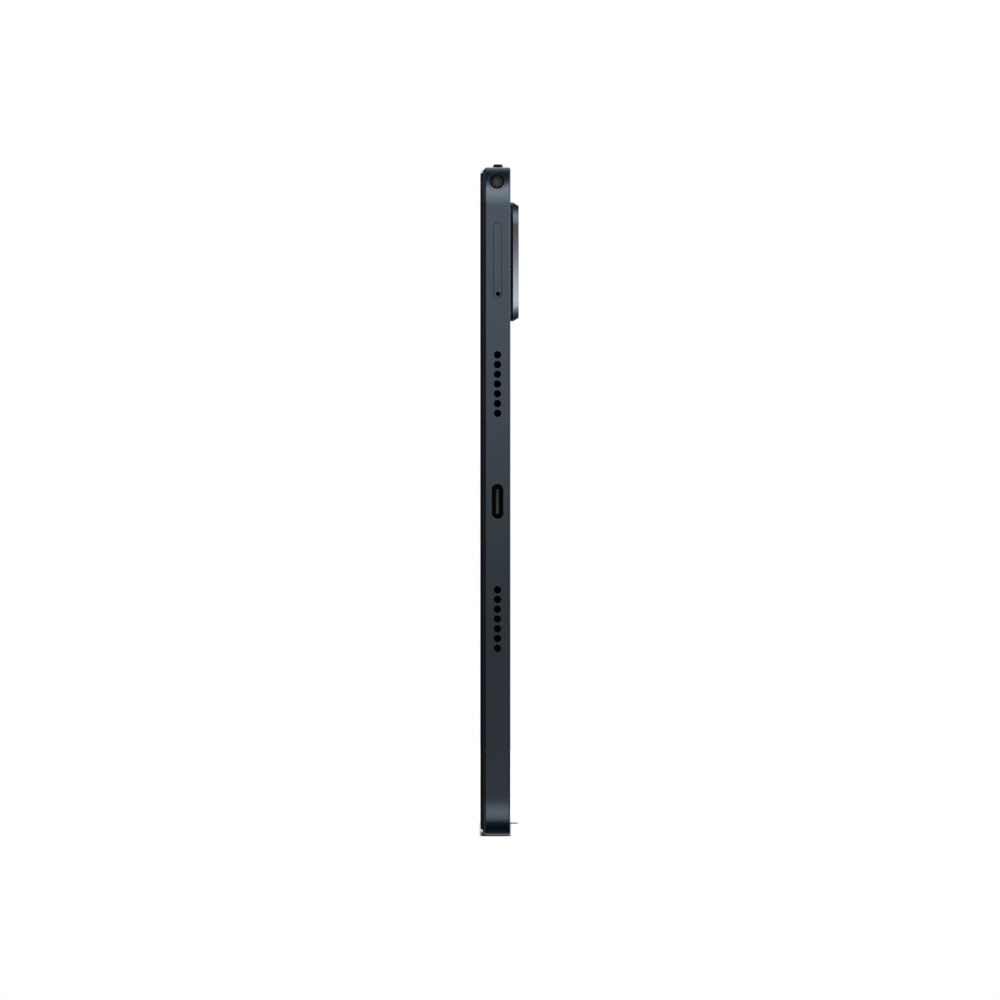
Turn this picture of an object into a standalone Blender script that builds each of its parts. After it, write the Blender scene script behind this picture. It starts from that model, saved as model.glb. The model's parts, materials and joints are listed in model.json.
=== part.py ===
"""A tablet computer of about eleven inches, as the separate pieces that it is assembled from.

The tablet stands upright on a long edge. +X points to the port edge, -Y to where the screen faces,
+Y to the rear, and +Z up. The origin is the middle of the bounding box's bottom. Lengths are metres.
"""

import math
from itertools import pairwise

import bmesh
import bpy

MM = 0.001

# Driving dimensions of the outside.
LENGTH = 257.0 * MM
HEIGHT = 168.6 * MM
CORNER_RADIUS = 9.8 * MM
BODY_DEPTH = 7.62 * MM
ISLAND_PROUD = 2.17 * MM
BUTTON_PROUD = 0.78 * MM

# Depths below the glass face.
GLASS_THICKNESS = 0.68 * MM
LIP_DEPTH = 0.97 * MM
SIDE_DEPTH = 1.43 * MM
LEDGE_DEPTH = 1.95 * MM

# Walls and general clearances.
SIDE_WALL = 1.4 * MM
BACK_WALL = 0.8 * MM
LIP_INSET = 0.42 * MM
SEAT_INSET = 0.55 * MM
GLASS_FACE_INSET = 1.05 * MM
GLASS_REAR_INSET = 0.66 * MM
EDGE_RADIUS = 0.5 * MM
GLUE_GAP = 0.05 * MM

# The stiffening rib at mid-length, which joins the bottom wall to the back below the battery.
RIB_THICKNESS = 2.0 * MM
RIB_FRONT = -2.3 * MM
RIB_TOP = 27.0 * MM

# Planes and edges that follow from them.
FRONT = -(BODY_DEPTH + ISLAND_PROUD) / 2
BACK = FRONT + BODY_DEPTH
ISLAND_FACE = BACK + ISLAND_PROUD
INNER_BACK = BACK - BACK_WALL
MID_Z = HEIGHT / 2
END_X = LENGTH / 2
INNER_END_X = END_X - SIDE_WALL
INNER_TOP = HEIGHT - SIDE_WALL
LEDGE_Y = FRONT + LEDGE_DEPTH

# Ports on the +X edge.
PORT_Y = -0.565 * MM
JACK_Y = -0.64 * MM
JACK_DROP = 3.6 * MM
JACK_RADIUS = 1.83 * MM
USB_SIZE = (2.75 * MM, 8.73 * MM)
TRAY_Z = 145.16 * MM
TRAY_Y = -0.553 * MM
TRAY_SLOT = (2.14 * MM, 19.2 * MM)
TRAY_GAP = 0.08 * MM
EJECT_Y = -0.44 * MM
EJECT_Z = 136.68 * MM
EJECT_RADIUS = 0.52 * MM
SPEAKER_OFFSET = 29.65 * MM
SPEAKER_PITCH = 2.46 * MM
SPEAKER_HOLES = 7
SPEAKER_HOLE_RADIUS = 0.925 * MM

# Display stack, from the glass inwards.
LCD_SIZE = (242.5 * MM, 154.0 * MM)
ADHESIVE_THICKNESS = 0.1 * MM
LCD_THICKNESS = 0.7 * MM
GUIDE_THICKNESS = 0.4 * MM
TRAY_SHEET = 0.2 * MM

# Circuit boards lie on low posts of the rear plate.
BOARD_FRONT = 1.17 * MM
BOARD_BACK = 1.67 * MM
POST_TOP = BOARD_BACK + GLUE_GAP
SCREW_END = 2.35 * MM
SCREW_HOLE_END = 2.42 * MM
SCREW_RADIUS = 0.66 * MM
SCREW_HOLE_RADIUS = 0.74 * MM
BOARD_SCREWS = [(-109.5, 131.5), (-89.8, 131.5), (-109.5, 74.0), (-89.8, 33.5)]
SUB_BOARD_SCREWS = [(109.0, 70.0), (109.0, 98.6)]
BRACKET_SCREWS = [(-106.0, 161.2), (-57.0, 161.2)]

# Camera island on the rear, in the corner away from the ports.
ISLAND_SIZE = 30.7 * MM
ISLAND_TOP_SIZE = 29.0 * MM
ISLAND_RADIUS = 6.3 * MM
ISLAND_FLANGE = 0.75 * MM
ISLAND_MARGIN = 8.95 * MM
ISLAND_X = -END_X + ISLAND_MARGIN + ISLAND_SIZE / 2
ISLAND_Z = HEIGHT - ISLAND_MARGIN - ISLAND_SIZE / 2
LENS_X = ISLAND_X - 4.6 * MM
FLASH_X = ISLAND_X + 8.2 * MM
BARREL_RADIUS = 3.9 * MM
LENS_BORE = 4.7 * MM
RING_RADIUS = 6.0 * MM
WINDOW_RADIUS = 4.35 * MM
FLASH_RADIUS = 2.6 * MM
LED_RADIUS = 1.2 * MM

# Buttons on the top edge.
BUTTON_Y = -0.44 * MM
BUTTON_WIDTH = 2.47 * MM
BUTTON_TOP_WIDTH = 1.5 * MM
BUTTON_GAP = 0.1 * MM
POWER_X = -98.5 * MM
POWER_LENGTH = 16.0 * MM
VOLUME_X = -66.5 * MM
VOLUME_LENGTH = 24.0 * MM
VOLUME_END_GAP = 0.15 * MM
VOLUME_PIVOT_Z = INNER_TOP - 0.75 * MM
VOLUME_SWITCH_OFFSET = 8.0 * MM
MIC_X = 20.0 * MM

# Eject lever behind the card tray.
LEVER_X = 101.6 * MM
LEVER_Z = 142.5 * MM

TINY = 1e-7
PLANES = {"X": (1, 2, 0), "Y": (0, 2, 1), "Z": (0, 1, 2)}

MATERIALS = {
    "anodised_aluminium": ((0.085, 0.105, 0.125, 1.0), 0.42, 1.0),
    "black_glass": ((0.006, 0.006, 0.007, 1.0), 0.06, 0.0),
    "bezel_plastic": ((0.020, 0.018, 0.017, 1.0), 0.45, 0.0),
    "island_metal": ((0.090, 0.105, 0.120, 1.0), 0.22, 1.0),
    "lens_metal": ((0.030, 0.032, 0.036, 1.0), 0.25, 1.0),
    "lens_glass": ((0.010, 0.010, 0.014, 1.0), 0.03, 0.0),
    "flash_diffuser": ((0.80, 0.78, 0.68, 1.0), 0.30, 0.0),
    "display_film": ((0.040, 0.042, 0.048, 1.0), 0.20, 0.0),
    "light_guide": ((0.82, 0.84, 0.85, 1.0), 0.25, 0.0),
    "adhesive": ((0.30, 0.30, 0.30, 1.0), 0.50, 0.0),
    "steel": ((0.48, 0.48, 0.47, 1.0), 0.32, 1.0),
    "circuit_board": ((0.010, 0.050, 0.035, 1.0), 0.45, 0.0),
    "flex_film": ((0.16, 0.075, 0.014, 1.0), 0.40, 0.0),
    "black_plastic": ((0.014, 0.014, 0.015, 1.0), 0.50, 0.0),
    "tongue_plastic": ((0.040, 0.040, 0.040, 1.0), 0.45, 0.0),
    "gauze": ((0.012, 0.012, 0.013, 1.0), 0.70, 0.0),
    "battery_pouch": ((0.17, 0.17, 0.18, 1.0), 0.40, 1.0),
}


def clear_scene():
    for thing in list(bpy.data.objects):
        bpy.data.objects.remove(thing, do_unlink=True)


def material(name):
    """The named material, made the first time that a piece needs it."""
    found = bpy.data.materials.get(name)
    if found:
        return found
    colour, roughness, metallic = MATERIALS[name]
    made = bpy.data.materials.new(name)
    made.use_nodes = True
    shader = made.node_tree.nodes["Principled BSDF"]
    shader.inputs["Base Color"].default_value = colour
    shader.inputs["Roughness"].default_value = roughness
    shader.inputs["Metallic"].default_value = metallic
    made.diffuse_color = colour
    return made


def outline(width, height, radius, steps):
    """Points of a rectangle with rounded corners about (0, 0), with steps facets on each corner."""
    points = []
    for corner, (side_u, side_v) in enumerate(((1, 1), (-1, 1), (-1, -1), (1, -1))):
        centre_u = side_u * (width / 2 - radius)
        centre_v = side_v * (height / 2 - radius)
        for step in range(steps + 1):
            angle = math.radians(90 * (corner + step / max(steps, 1)))
            point = (centre_u + radius * math.cos(angle), centre_v + radius * math.sin(angle))
            if not points or math.dist(point, points[-1]) > TINY:
                points.append(point)
    if math.dist(points[0], points[-1]) < TINY:
        points.pop()
    return points


def finish(name, builder, location, finish_name):
    """Turns a bmesh into a named object with its faces out and its round sides shaded smooth."""
    bmesh.ops.recalc_face_normals(builder, faces=builder.faces)
    mesh = bpy.data.meshes.new(name)
    builder.to_mesh(mesh)
    builder.free()
    mesh.shade_smooth()
    mesh.set_sharp_from_angle(angle=math.radians(35))
    piece = bpy.data.objects.new(name, mesh)
    piece.location = location
    bpy.context.scene.collection.objects.link(piece)
    if finish_name:
        mesh.materials.append(material(finish_name))
    return piece


def solid(name, axis, location, sections, finish_name=None, steps=0):
    """A closed solid along an axis through rounded rectangles: (position, width, height, radius).

    Widths run along the first of the other two axes, and heights along the second.
    """
    across, up, along = PLANES[axis]
    builder = bmesh.new()
    rings = []
    for position, width, height, radius in sections:
        ring = []
        for u, v in outline(width, height, radius, steps):
            corner = [0.0, 0.0, 0.0]
            corner[across] = u
            corner[up] = v
            corner[along] = position
            ring.append(builder.verts.new(corner))
        rings.append(ring)
    builder.faces.new(rings[0])
    builder.faces.new(rings[-1])
    for near, far in pairwise(rings):
        for index in range(len(near)):
            after = (index + 1) % len(near)
            builder.faces.new((near[index], near[after], far[after], far[index]))
    return finish(name, builder, location, finish_name)


def block(name, low, high, finish_name=None, corner=0.0, steps=0):
    """A box between two corners, rounded about the Y axis where a corner radius is given."""
    centre = [(a + b) / 2 for a, b in zip(low, high, strict=True)]
    width, depth, height = (b - a for a, b in zip(low, high, strict=True))
    ends = (-depth / 2, depth / 2)
    sections = [(end, width, height, corner) for end in ends]
    return solid(name, "Y", centre, sections, finish_name, steps)


def cylinder(name, axis, location, radius, start, end, finish_name=None, quarter=4):
    """A round bar along an axis, from start to end past the location, with 4 * quarter sides."""
    sections = [(start, 2 * radius, 2 * radius, radius), (end, 2 * radius, 2 * radius, radius)]
    return solid(name, axis, location, sections, finish_name, quarter)


def pill(name, axis, location, size, start, end, finish_name=None, steps=4):
    """A bar with full-round ends along an axis. The size is (width, height)."""
    radius = min(size) / 2
    sections = [(start, *size, radius), (end, *size, radius)]
    return solid(name, axis, location, sections, finish_name, steps)


def ribbon(name, path, thickness, low_z, high_z, finish_name):
    """A flat flexible strip that follows (x, y) points, with its width along Z."""
    builder = bmesh.new()
    rings = []
    for z in (low_z, high_z):
        front = [builder.verts.new((x, y, z)) for x, y in path]
        rear = [builder.verts.new((x, y + thickness, z)) for x, y in reversed(path)]
        rings.append(front + rear)
    builder.faces.new(rings[0])
    builder.faces.new(rings[1])
    count = len(rings[0])
    for index in range(count):
        after = (index + 1) % count
        low, high = rings
        builder.faces.new((low[index], low[after], high[after], high[index]))
    return finish(name, builder, (0, 0, 0), finish_name)


def combine(target, other, operation):
    """Applies a Boolean to the target and removes the other object."""
    boolean = target.modifiers.new(operation.title(), "BOOLEAN")
    boolean.operation = operation
    boolean.solver = "EXACT"
    boolean.object = other
    bpy.context.view_layer.update()
    shape = target.evaluated_get(bpy.context.evaluated_depsgraph_get())
    mesh = bpy.data.meshes.new_from_object(shape)
    target.modifiers.clear()
    old = target.data
    target.data = mesh
    bpy.data.meshes.remove(old)
    mesh.name = target.name
    mesh.shade_smooth()
    mesh.set_sharp_from_angle(angle=math.radians(35))
    bpy.data.objects.remove(other, do_unlink=True)


def cut(target, *cutters):
    for cutter in cutters:
        combine(target, cutter, "DIFFERENCE")


def join(target, *others):
    for other in others:
        combine(target, other, "UNION")


def body_section(depth, inset):
    """The tablet's outline at a depth below the glass face, drawn in by an inset."""
    return (FRONT + depth, LENGTH - 2 * inset, HEIGHT - 2 * inset, CORNER_RADIUS - inset)


def screw_places():
    return [(x * MM, z * MM) for x, z in BOARD_SCREWS + SUB_BOARD_SCREWS + BRACKET_SCREWS]


def speaker_centres():
    """The place and facing of each speaker: name, which end, height."""
    centres = []
    for end_name, side in (("port", 1), ("far", -1)):
        for level_name, level in (("upper", 1), ("lower", -1)):
            centres.append((f"{end_name}_{level_name}", side, MID_Z + level * SPEAKER_OFFSET))
    return centres


def housing_outside():
    """The pan's outer shape: a chamfered lip, flat sides and a rounded rear edge."""
    sections = [body_section(LIP_DEPTH, LIP_INSET), body_section(SIDE_DEPTH, 0.0)]
    for degrees in (0, 30, 60, 90):
        angle = math.radians(degrees)
        depth = BODY_DEPTH - EDGE_RADIUS * (1 - math.sin(angle))
        sections.append(body_section(depth, EDGE_RADIUS * (1 - math.cos(angle))))
    return solid("rear_housing", "Y", (0, 0, MID_Z), sections, "anodised_aluminium", 8)


def housing_cavity():
    """The space inside the pan: a seat for the bezel ring, and a pocket with posts, a boss and a rib."""
    inner_depth = BODY_DEPTH - BACK_WALL
    sections = [
        body_section(LIP_DEPTH - 1 * MM, SEAT_INSET),
        body_section(LEDGE_DEPTH, SEAT_INSET),
        body_section(LEDGE_DEPTH, SIDE_WALL),
        body_section(inner_depth, SIDE_WALL),
    ]
    cavity = solid("cavity", "Y", (0, 0, MID_Z), sections, steps=8)
    for x, z in screw_places():
        cut(cavity, cylinder("post", "Y", (x, 0, z), 1.7 * MM, POST_TOP, BACK, quarter=3))
    boss_low = (END_X - 8.8 * MM, -2.8 * MM, HEIGHT - 6.6 * MM)
    boss_high = (END_X + 1 * MM, BACK, HEIGHT + 1 * MM)
    cut(cavity, block("jack_boss", boss_low, boss_high))
    rib_low = (-RIB_THICKNESS / 2, RIB_FRONT, SIDE_WALL / 2)
    rib_high = (RIB_THICKNESS / 2, BACK, RIB_TOP)
    cut(cavity, block("rib", rib_low, rib_high))
    return cavity


def port_openings():
    """Cutters for the openings in the walls at both ends."""
    through = 2 * SIDE_WALL
    end = (END_X, PORT_Y, MID_Z)
    tray = (END_X, TRAY_Y, TRAY_Z)
    jack = (END_X, JACK_Y, HEIGHT - JACK_DROP)
    cutters = [
        pill("usb_opening", "X", end, USB_SIZE, -through, through, steps=5),
        pill("tray_opening", "X", tray, TRAY_SLOT, -through, through, steps=5),
        cylinder("jack_opening", "X", jack, JACK_RADIUS, -10 * MM, through, quarter=5),
    ]
    first = -(SPEAKER_HOLES - 1) / 2
    for name, side, z in speaker_centres():
        for number in range(SPEAKER_HOLES):
            place = (side * END_X, PORT_Y, z + (first + number) * SPEAKER_PITCH)
            hole = f"speaker_hole_{name}_{number}"
            cutters.append(cylinder(hole, "X", place, SPEAKER_HOLE_RADIUS, -through, through, quarter=3))
    return cutters


def top_openings():
    """Cutters for the button slots and the microphone hole in the top wall."""
    through = 2 * SIDE_WALL
    slot_width = BUTTON_WIDTH + 2 * BUTTON_GAP
    power_size = (POWER_LENGTH + 2 * BUTTON_GAP, slot_width)
    volume_size = (VOLUME_LENGTH + 2 * VOLUME_END_GAP, slot_width)
    return [
        pill("power_slot", "Z", (POWER_X, BUTTON_Y, HEIGHT), power_size, -through, through),
        pill("volume_slot", "Z", (VOLUME_X, BUTTON_Y, HEIGHT), volume_size, -through, through),
        cylinder("mic_hole", "Z", (MIC_X, PORT_Y, HEIGHT), 0.5 * MM, -through, through, quarter=3),
    ]


def rear_openings():
    """Cutters for the camera barrel, the flash and the screw holes in the rear plate."""
    lens_hole = BARREL_RADIUS + 0.7 * MM
    flash_hole = LED_RADIUS + 0.3 * MM
    cutters = [
        cylinder("lens_hole", "Y", (LENS_X, 0, ISLAND_Z), lens_hole, 1 * MM, 4 * MM),
        cylinder("flash_hole", "Y", (FLASH_X, 0, ISLAND_Z), flash_hole, 1 * MM, 4 * MM, quarter=3),
    ]
    for x, z in screw_places():
        place = (x, 0, z)
        cutters.append(cylinder("hole", "Y", place, SCREW_HOLE_RADIUS, 1 * MM, SCREW_HOLE_END, quarter=3))
    return cutters


def rear_housing():
    housing = housing_outside()
    cut(housing, housing_cavity())
    cut(housing, *port_openings())
    cut(housing, *top_openings())
    cut(housing, *rear_openings())


def front_bezel_ring():
    """The plastic frame that the glass is glued to."""
    inner_inset = 3.2 * MM
    outer_inset = SEAT_INSET + GLUE_GAP
    top = GLASS_THICKNESS + GLUE_GAP
    bottom = LEDGE_DEPTH - GLUE_GAP
    outer = [
        body_section(top, GLASS_REAR_INSET),
        body_section(LIP_DEPTH, outer_inset),
        body_section(bottom, outer_inset),
    ]
    inner = [body_section(top - 1 * MM, inner_inset), body_section(bottom + 1 * MM, inner_inset)]
    ring = solid("front_bezel_ring", "Y", (0, 0, MID_Z), outer, "bezel_plastic", 8)
    cut(ring, solid("ring_opening", "Y", (0, 0, MID_Z), inner, steps=8))


def cover_glass():
    """The front glass, whose edge slants out towards the metal lip."""
    sections = [
        body_section(0.0, GLASS_FACE_INSET),
        body_section(GLASS_THICKNESS, GLASS_REAR_INSET),
    ]
    solid("cover_glass", "Y", (0, 0, MID_Z), sections, "black_glass", 8)


def centred_sheet(name, size, start, end, finish_name):
    """A flat rectangular sheet in the middle of the tablet, between two Y planes."""
    half_x, half_z = size[0] / 2, size[1] / 2
    low = (-half_x, start, MID_Z - half_z)
    high = (half_x, end, MID_Z + half_z)
    return block(name, low, high, finish_name)


def display_stack():
    """The adhesive, the panel, the light guide and the tray that holds the guide."""
    width, height = LCD_SIZE
    y = FRONT + GLASS_THICKNESS + GLUE_GAP
    adhesive_size = (width - 0.5 * MM, height - 0.5 * MM)
    centred_sheet("display_adhesive", adhesive_size, y, y + ADHESIVE_THICKNESS, "adhesive")
    y += ADHESIVE_THICKNESS + GLUE_GAP
    centred_sheet("lcd_panel", LCD_SIZE, y, y + LCD_THICKNESS, "display_film")
    y += LCD_THICKNESS + GLUE_GAP
    guide_size = (width - 0.5 * MM, height - 1.0 * MM)
    centred_sheet("light_guide", guide_size, y, y + GUIDE_THICKNESS, "light_guide")
    rim = y + 0.015 * MM
    y += GUIDE_THICKNESS + GLUE_GAP
    tray_size = (width + 1.5 * MM, height + 1.0 * MM)
    pocket_size = (width + 0.7 * MM, height + 0.2 * MM)
    tray = centred_sheet("backlight_tray", tray_size, rim, y + TRAY_SHEET, "steel")
    cut(tray, centred_sheet("tray_pocket", pocket_size, rim - 1 * MM, y, None))


def display_flex():
    """The ribbon from the display's rear to the main board."""
    start = FRONT + 2.33 * MM
    land = BOARD_FRONT - 0.2 * MM
    path = [(-121 * MM, start), (-109 * MM, start), (-103 * MM, land), (-98 * MM, land)]
    ribbon("display_flex", path, 0.15 * MM, 32 * MM, 43 * MM, "flex_film")


def front_camera_module():
    """The camera behind the glass, above the middle of the display."""
    half_width = 3.2 * MM
    low = (-half_width, FRONT + 1.5 * MM, HEIGHT - 6.5 * MM)
    high = (half_width, FRONT + 4.3 * MM, HEIGHT - 3.5 * MM)
    camera = block("front_camera_module", low, high, "black_plastic")
    place = (0, FRONT, HEIGHT - 5.0 * MM)
    join(camera, cylinder("barrel", "Y", place, 1.2 * MM, 0.8 * MM, 2.0 * MM, quarter=3))


def camera_island():
    """The raised bezel: an upright flange, a slanted wall and a flat face with two stepped bores."""
    size, top = ISLAND_SIZE, ISLAND_TOP_SIZE
    top_radius = ISLAND_RADIUS - (size - top) / 2
    sections = [
        (BACK + GLUE_GAP, size, size, ISLAND_RADIUS),
        (BACK + ISLAND_FLANGE, size, size, ISLAND_RADIUS),
        (ISLAND_FACE, top, top, top_radius),
    ]
    place = (ISLAND_X, 0, ISLAND_Z)
    lens = (LENS_X, 0, ISLAND_Z)
    flash = (FLASH_X, 0, ISLAND_Z)
    beyond = ISLAND_FACE + 1 * MM
    island = solid("camera_island", "Y", place, sections, "island_metal", 6)
    cut(
        island,
        cylinder("lens_bore", "Y", lens, LENS_BORE, BACK - 1 * MM, beyond),
        cylinder("ring_seat", "Y", lens, RING_RADIUS + 0.1 * MM, BACK + 0.6 * MM, beyond, quarter=6),
        cylinder("led_bore", "Y", flash, LED_RADIUS + 0.4 * MM, BACK - 1 * MM, beyond),
        cylinder("flash_seat", "Y", flash, FLASH_RADIUS + 0.1 * MM, BACK + 1.2 * MM, beyond),
    )


def rear_camera():
    """The camera module, its ring and window, and the flash's lens and light."""
    lens = (LENS_X, 0, ISLAND_Z)
    flash = (FLASH_X, 0, ISLAND_Z)
    half = 4.75 * MM
    face = ISLAND_FACE - GLUE_GAP
    low = (LENS_X - half, -2.3 * MM, ISLAND_Z - half)
    high = (LENS_X + half, 1.6 * MM, ISLAND_Z + half)
    module = block("rear_camera_module", low, high, "black_plastic")
    join(module, cylinder("barrel", "Y", lens, BARREL_RADIUS, 1 * MM, BACK + 1.4 * MM))
    ring = cylinder("camera_lens_ring", "Y", lens, RING_RADIUS, BACK + 0.7 * MM, face, "lens_metal", 6)
    cut(ring, cylinder("ring_hole", "Y", lens, WINDOW_RADIUS + 0.12 * MM, 0, 2 * ISLAND_FACE, quarter=6))
    window_back = ISLAND_FACE - 0.65 * MM
    window_front = ISLAND_FACE - 0.15 * MM
    cylinder("camera_window", "Y", lens, WINDOW_RADIUS, window_back, window_front, "lens_glass", 6)
    cylinder("flash_lens", "Y", flash, FLASH_RADIUS, BACK + 1.3 * MM, face, "flash_diffuser")
    cylinder("flash_led", "Y", flash, LED_RADIUS, 0.9 * MM, BACK + 1.0 * MM, "flash_diffuser", 3)


def drill(board, places):
    """Clearance holes for screws through a board or a bracket's foot."""
    for x, z in places:
        place = (x * MM, 0, z * MM)
        cut(board, cylinder("hole", "Y", place, 0.85 * MM, BOARD_FRONT - MM, BOARD_BACK + MM, quarter=3))


def shield(name, low_x, high_x, low_z, high_z):
    """A pressed steel can over the chips, open towards the board."""
    sheet = 0.2 * MM
    front = BOARD_FRONT - 1.85 * MM
    rear = BOARD_FRONT - GLUE_GAP
    can = block(name, (low_x, front, low_z), (high_x, rear, high_z), "steel")
    inside_low = (low_x + sheet, front + sheet, low_z + sheet)
    inside_high = (high_x - sheet, rear + 1 * MM, high_z - sheet)
    cut(can, block("can_inside", inside_low, inside_high))


def boards():
    """The main board with its shields, the port board and the antenna between the far speakers."""
    low = (-112 * MM, BOARD_FRONT, 30 * MM)
    high = (-87.5 * MM, BOARD_BACK, 136 * MM)
    main = block("main_board", low, high, "circuit_board")
    drill(main, BOARD_SCREWS)
    shield("processor_shield", -106.5 * MM, -92.5 * MM, 96 * MM, 124 * MM)
    shield("power_shield", -106.5 * MM, -92.5 * MM, 46 * MM, 72 * MM)
    half = 17.3 * MM
    sub_low = (106.5 * MM, BOARD_FRONT, MID_Z - half)
    sub_high = (INNER_END_X - 0.3 * MM, BOARD_BACK, MID_Z + half)
    sub = block("sub_board", sub_low, sub_high, "circuit_board")
    drill(sub, SUB_BOARD_SCREWS)
    antenna_x = -INNER_END_X + 0.4 * MM
    antenna_low = (antenna_x, -2.2 * MM, MID_Z - 15.3 * MM)
    antenna_high = (antenna_x + 2.5 * MM, 1.6 * MM, MID_Z + 15.3 * MM)
    block("wifi_antenna", antenna_low, antenna_high, "black_plastic")


def board_flex():
    """The ribbon that joins the two boards, in front of the battery."""
    land = BOARD_FRONT - 0.2 * MM
    over = -2.35 * MM
    path = [(-97, land), (-91, land), (-86.5, over), (104.5, over), (108, land), (112, land)]
    path = [(x * MM, y) for x, y in path]
    ribbon("board_flex", path, 0.15 * MM, MID_Z - 8 * MM, MID_Z + 7.5 * MM, "flex_film")


def usb_socket():
    """The steel shell of the USB-C receptacle and the tongue inside it."""
    place = (INNER_END_X, PORT_Y, MID_Z)
    length = 7.2 * MM
    front = -0.3 * MM
    wall = 0.6 * MM
    shell = pill("usb_shell", "X", place, (3.4 * MM, 9.5 * MM), front - length, front, "steel", 5)
    cut(shell, pill("usb_mouth", "X", place, (2.6 * MM, 8.6 * MM), front - length + wall, 1 * MM, steps=5))
    half_y, half_z = 0.36 * MM, 3.1 * MM
    low = (INNER_END_X + front - length + wall + 0.3 * MM, PORT_Y - half_y, MID_Z - half_z)
    high = (INNER_END_X - 0.7 * MM, PORT_Y + half_y, MID_Z + half_z)
    block("usb_tongue", low, high, "tongue_plastic")


def headphone_jack():
    """The 3.5 mm socket behind its boss, with a blind bore."""
    half = 2.1 * MM
    front = END_X - 9.1 * MM
    rear = front - 12.4 * MM
    centre_z = HEIGHT - JACK_DROP
    low = (rear, JACK_Y - half, centre_z - half)
    high = (front, JACK_Y + half, centre_z + half)
    jack = block("headphone_jack", low, high, "black_plastic")
    place = (front, JACK_Y, centre_z)
    cut(jack, cylinder("jack_bore", "X", place, 1.78 * MM, -11.4 * MM, 1 * MM, quarter=5))


def card_tray():
    """The tray: a face flush with the wall and a carrier with places for two cards."""
    place = (END_X, TRAY_Y, TRAY_Z)
    size = (TRAY_SLOT[0] - 2 * TRAY_GAP, TRAY_SLOT[1] - 2 * TRAY_GAP)
    tray = pill("card_tray", "X", place, size, -1.55 * MM, 0, "anodised_aluminium", 5)
    front_y, rear_y = TRAY_Y - 0.65 * MM, TRAY_Y + 0.65 * MM
    low_z, high_z = TRAY_Z - 7.2 * MM, TRAY_Z + 8.9 * MM
    join(tray, block("carrier", (104 * MM, front_y, low_z), (127.3 * MM, rear_y, high_z)))
    middle_z = (low_z + high_z) / 2
    memory_low = (105.2 * MM, front_y - 1 * MM, middle_z - 7.55 * MM)
    memory_high = (116.4 * MM, rear_y - 0.4 * MM, middle_z + 7.55 * MM)
    sim_low = (117.4 * MM, front_y - 1 * MM, middle_z - 6.2 * MM)
    sim_high = (126.3 * MM, rear_y + 1 * MM, middle_z + 6.2 * MM)
    cut(tray, block("memory_place", memory_low, memory_high), block("sim_place", sim_low, sim_high))
    eject = (END_X, EJECT_Y, EJECT_Z)
    cut(tray, cylinder("eject_hole", "X", eject, EJECT_RADIUS, -3 * MM, 1 * MM, quarter=3))


def card_reader():
    """The cage that the tray slides in, with the foot and the post of the eject lever."""
    front_y, rear_y = TRAY_Y - 1.2 * MM, TRAY_Y + 1.2 * MM
    low_z, high_z = TRAY_Z - 7.75 * MM, TRAY_Z + 9.45 * MM
    low_x, high_x = 104.2 * MM, INNER_END_X - 0.5 * MM
    cage = block("card_reader", (low_x, front_y, low_z), (high_x, rear_y, high_z), "steel")
    side, face = 0.3 * MM, 0.35 * MM
    channel_low = (low_x - 1 * MM, front_y + face, low_z + side)
    channel_high = (high_x + 1 * MM, rear_y - face, high_z - side)
    cut(cage, block("channel", channel_low, channel_high))
    foot_low = (LEVER_X - 1.8 * MM, rear_y - 0.3 * MM, LEVER_Z - 3.5 * MM)
    foot_high = (low_x + 0.5 * MM, rear_y - 0.05 * MM, LEVER_Z + 4.0 * MM)
    join(cage, block("foot", foot_low, foot_high))
    pivot = (LEVER_X, 0, LEVER_Z)
    post_start, post_end = TRAY_Y - 0.65 * MM, rear_y - 0.1 * MM
    join(cage, cylinder("post", "Y", pivot, 0.6 * MM, post_start, post_end, quarter=3))


def eject_parts():
    """The rod that an eject pin pushes, and the lever that it turns."""
    rod_start, rod_end = 102.5 * MM, 126.5 * MM
    place = (rod_end, EJECT_Y, EJECT_Z)
    cylinder("eject_rod", "X", place, 0.45 * MM, rod_start - rod_end, 0, "steel", 3)
    half_width, half_depth = 0.6 * MM, 0.4 * MM
    below, above = 7.1 * MM, 6.4 * MM
    pivot = (LEVER_X, EJECT_Y, LEVER_Z)
    lever = cylinder("eject_lever", "Y", pivot, 1.4 * MM, -half_depth, half_depth, "steel", 3)
    low = (LEVER_X - half_width, EJECT_Y - half_depth, LEVER_Z - below)
    high = (LEVER_X + half_width, EJECT_Y + half_depth, LEVER_Z + above)
    join(lever, block("arm", low, high))
    cut(lever, cylinder("pivot_hole", "Y", pivot, 0.75 * MM, -1 * MM, 1 * MM, quarter=3))


def batteries():
    """Two pouch cells side by side and the protection board above them."""
    low_z, high_z = 28 * MM, 132 * MM
    front, rear = -1.9 * MM, 1.75 * MM
    cells = [("battery_cell_left", -84, 8.5), ("battery_cell_right", 9.5, 102)]
    for name, low_x, high_x in cells:
        low = (low_x * MM, front, low_z)
        high = (high_x * MM, rear, high_z)
        block(name, low, high, "battery_pouch", 2 * MM, 2)
    guard_low = (-20 * MM, 0.3 * MM, high_z + 1 * MM)
    guard_high = (38 * MM, 1.6 * MM, high_z + 6 * MM)
    block("battery_board", guard_low, guard_high, "circuit_board")


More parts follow.
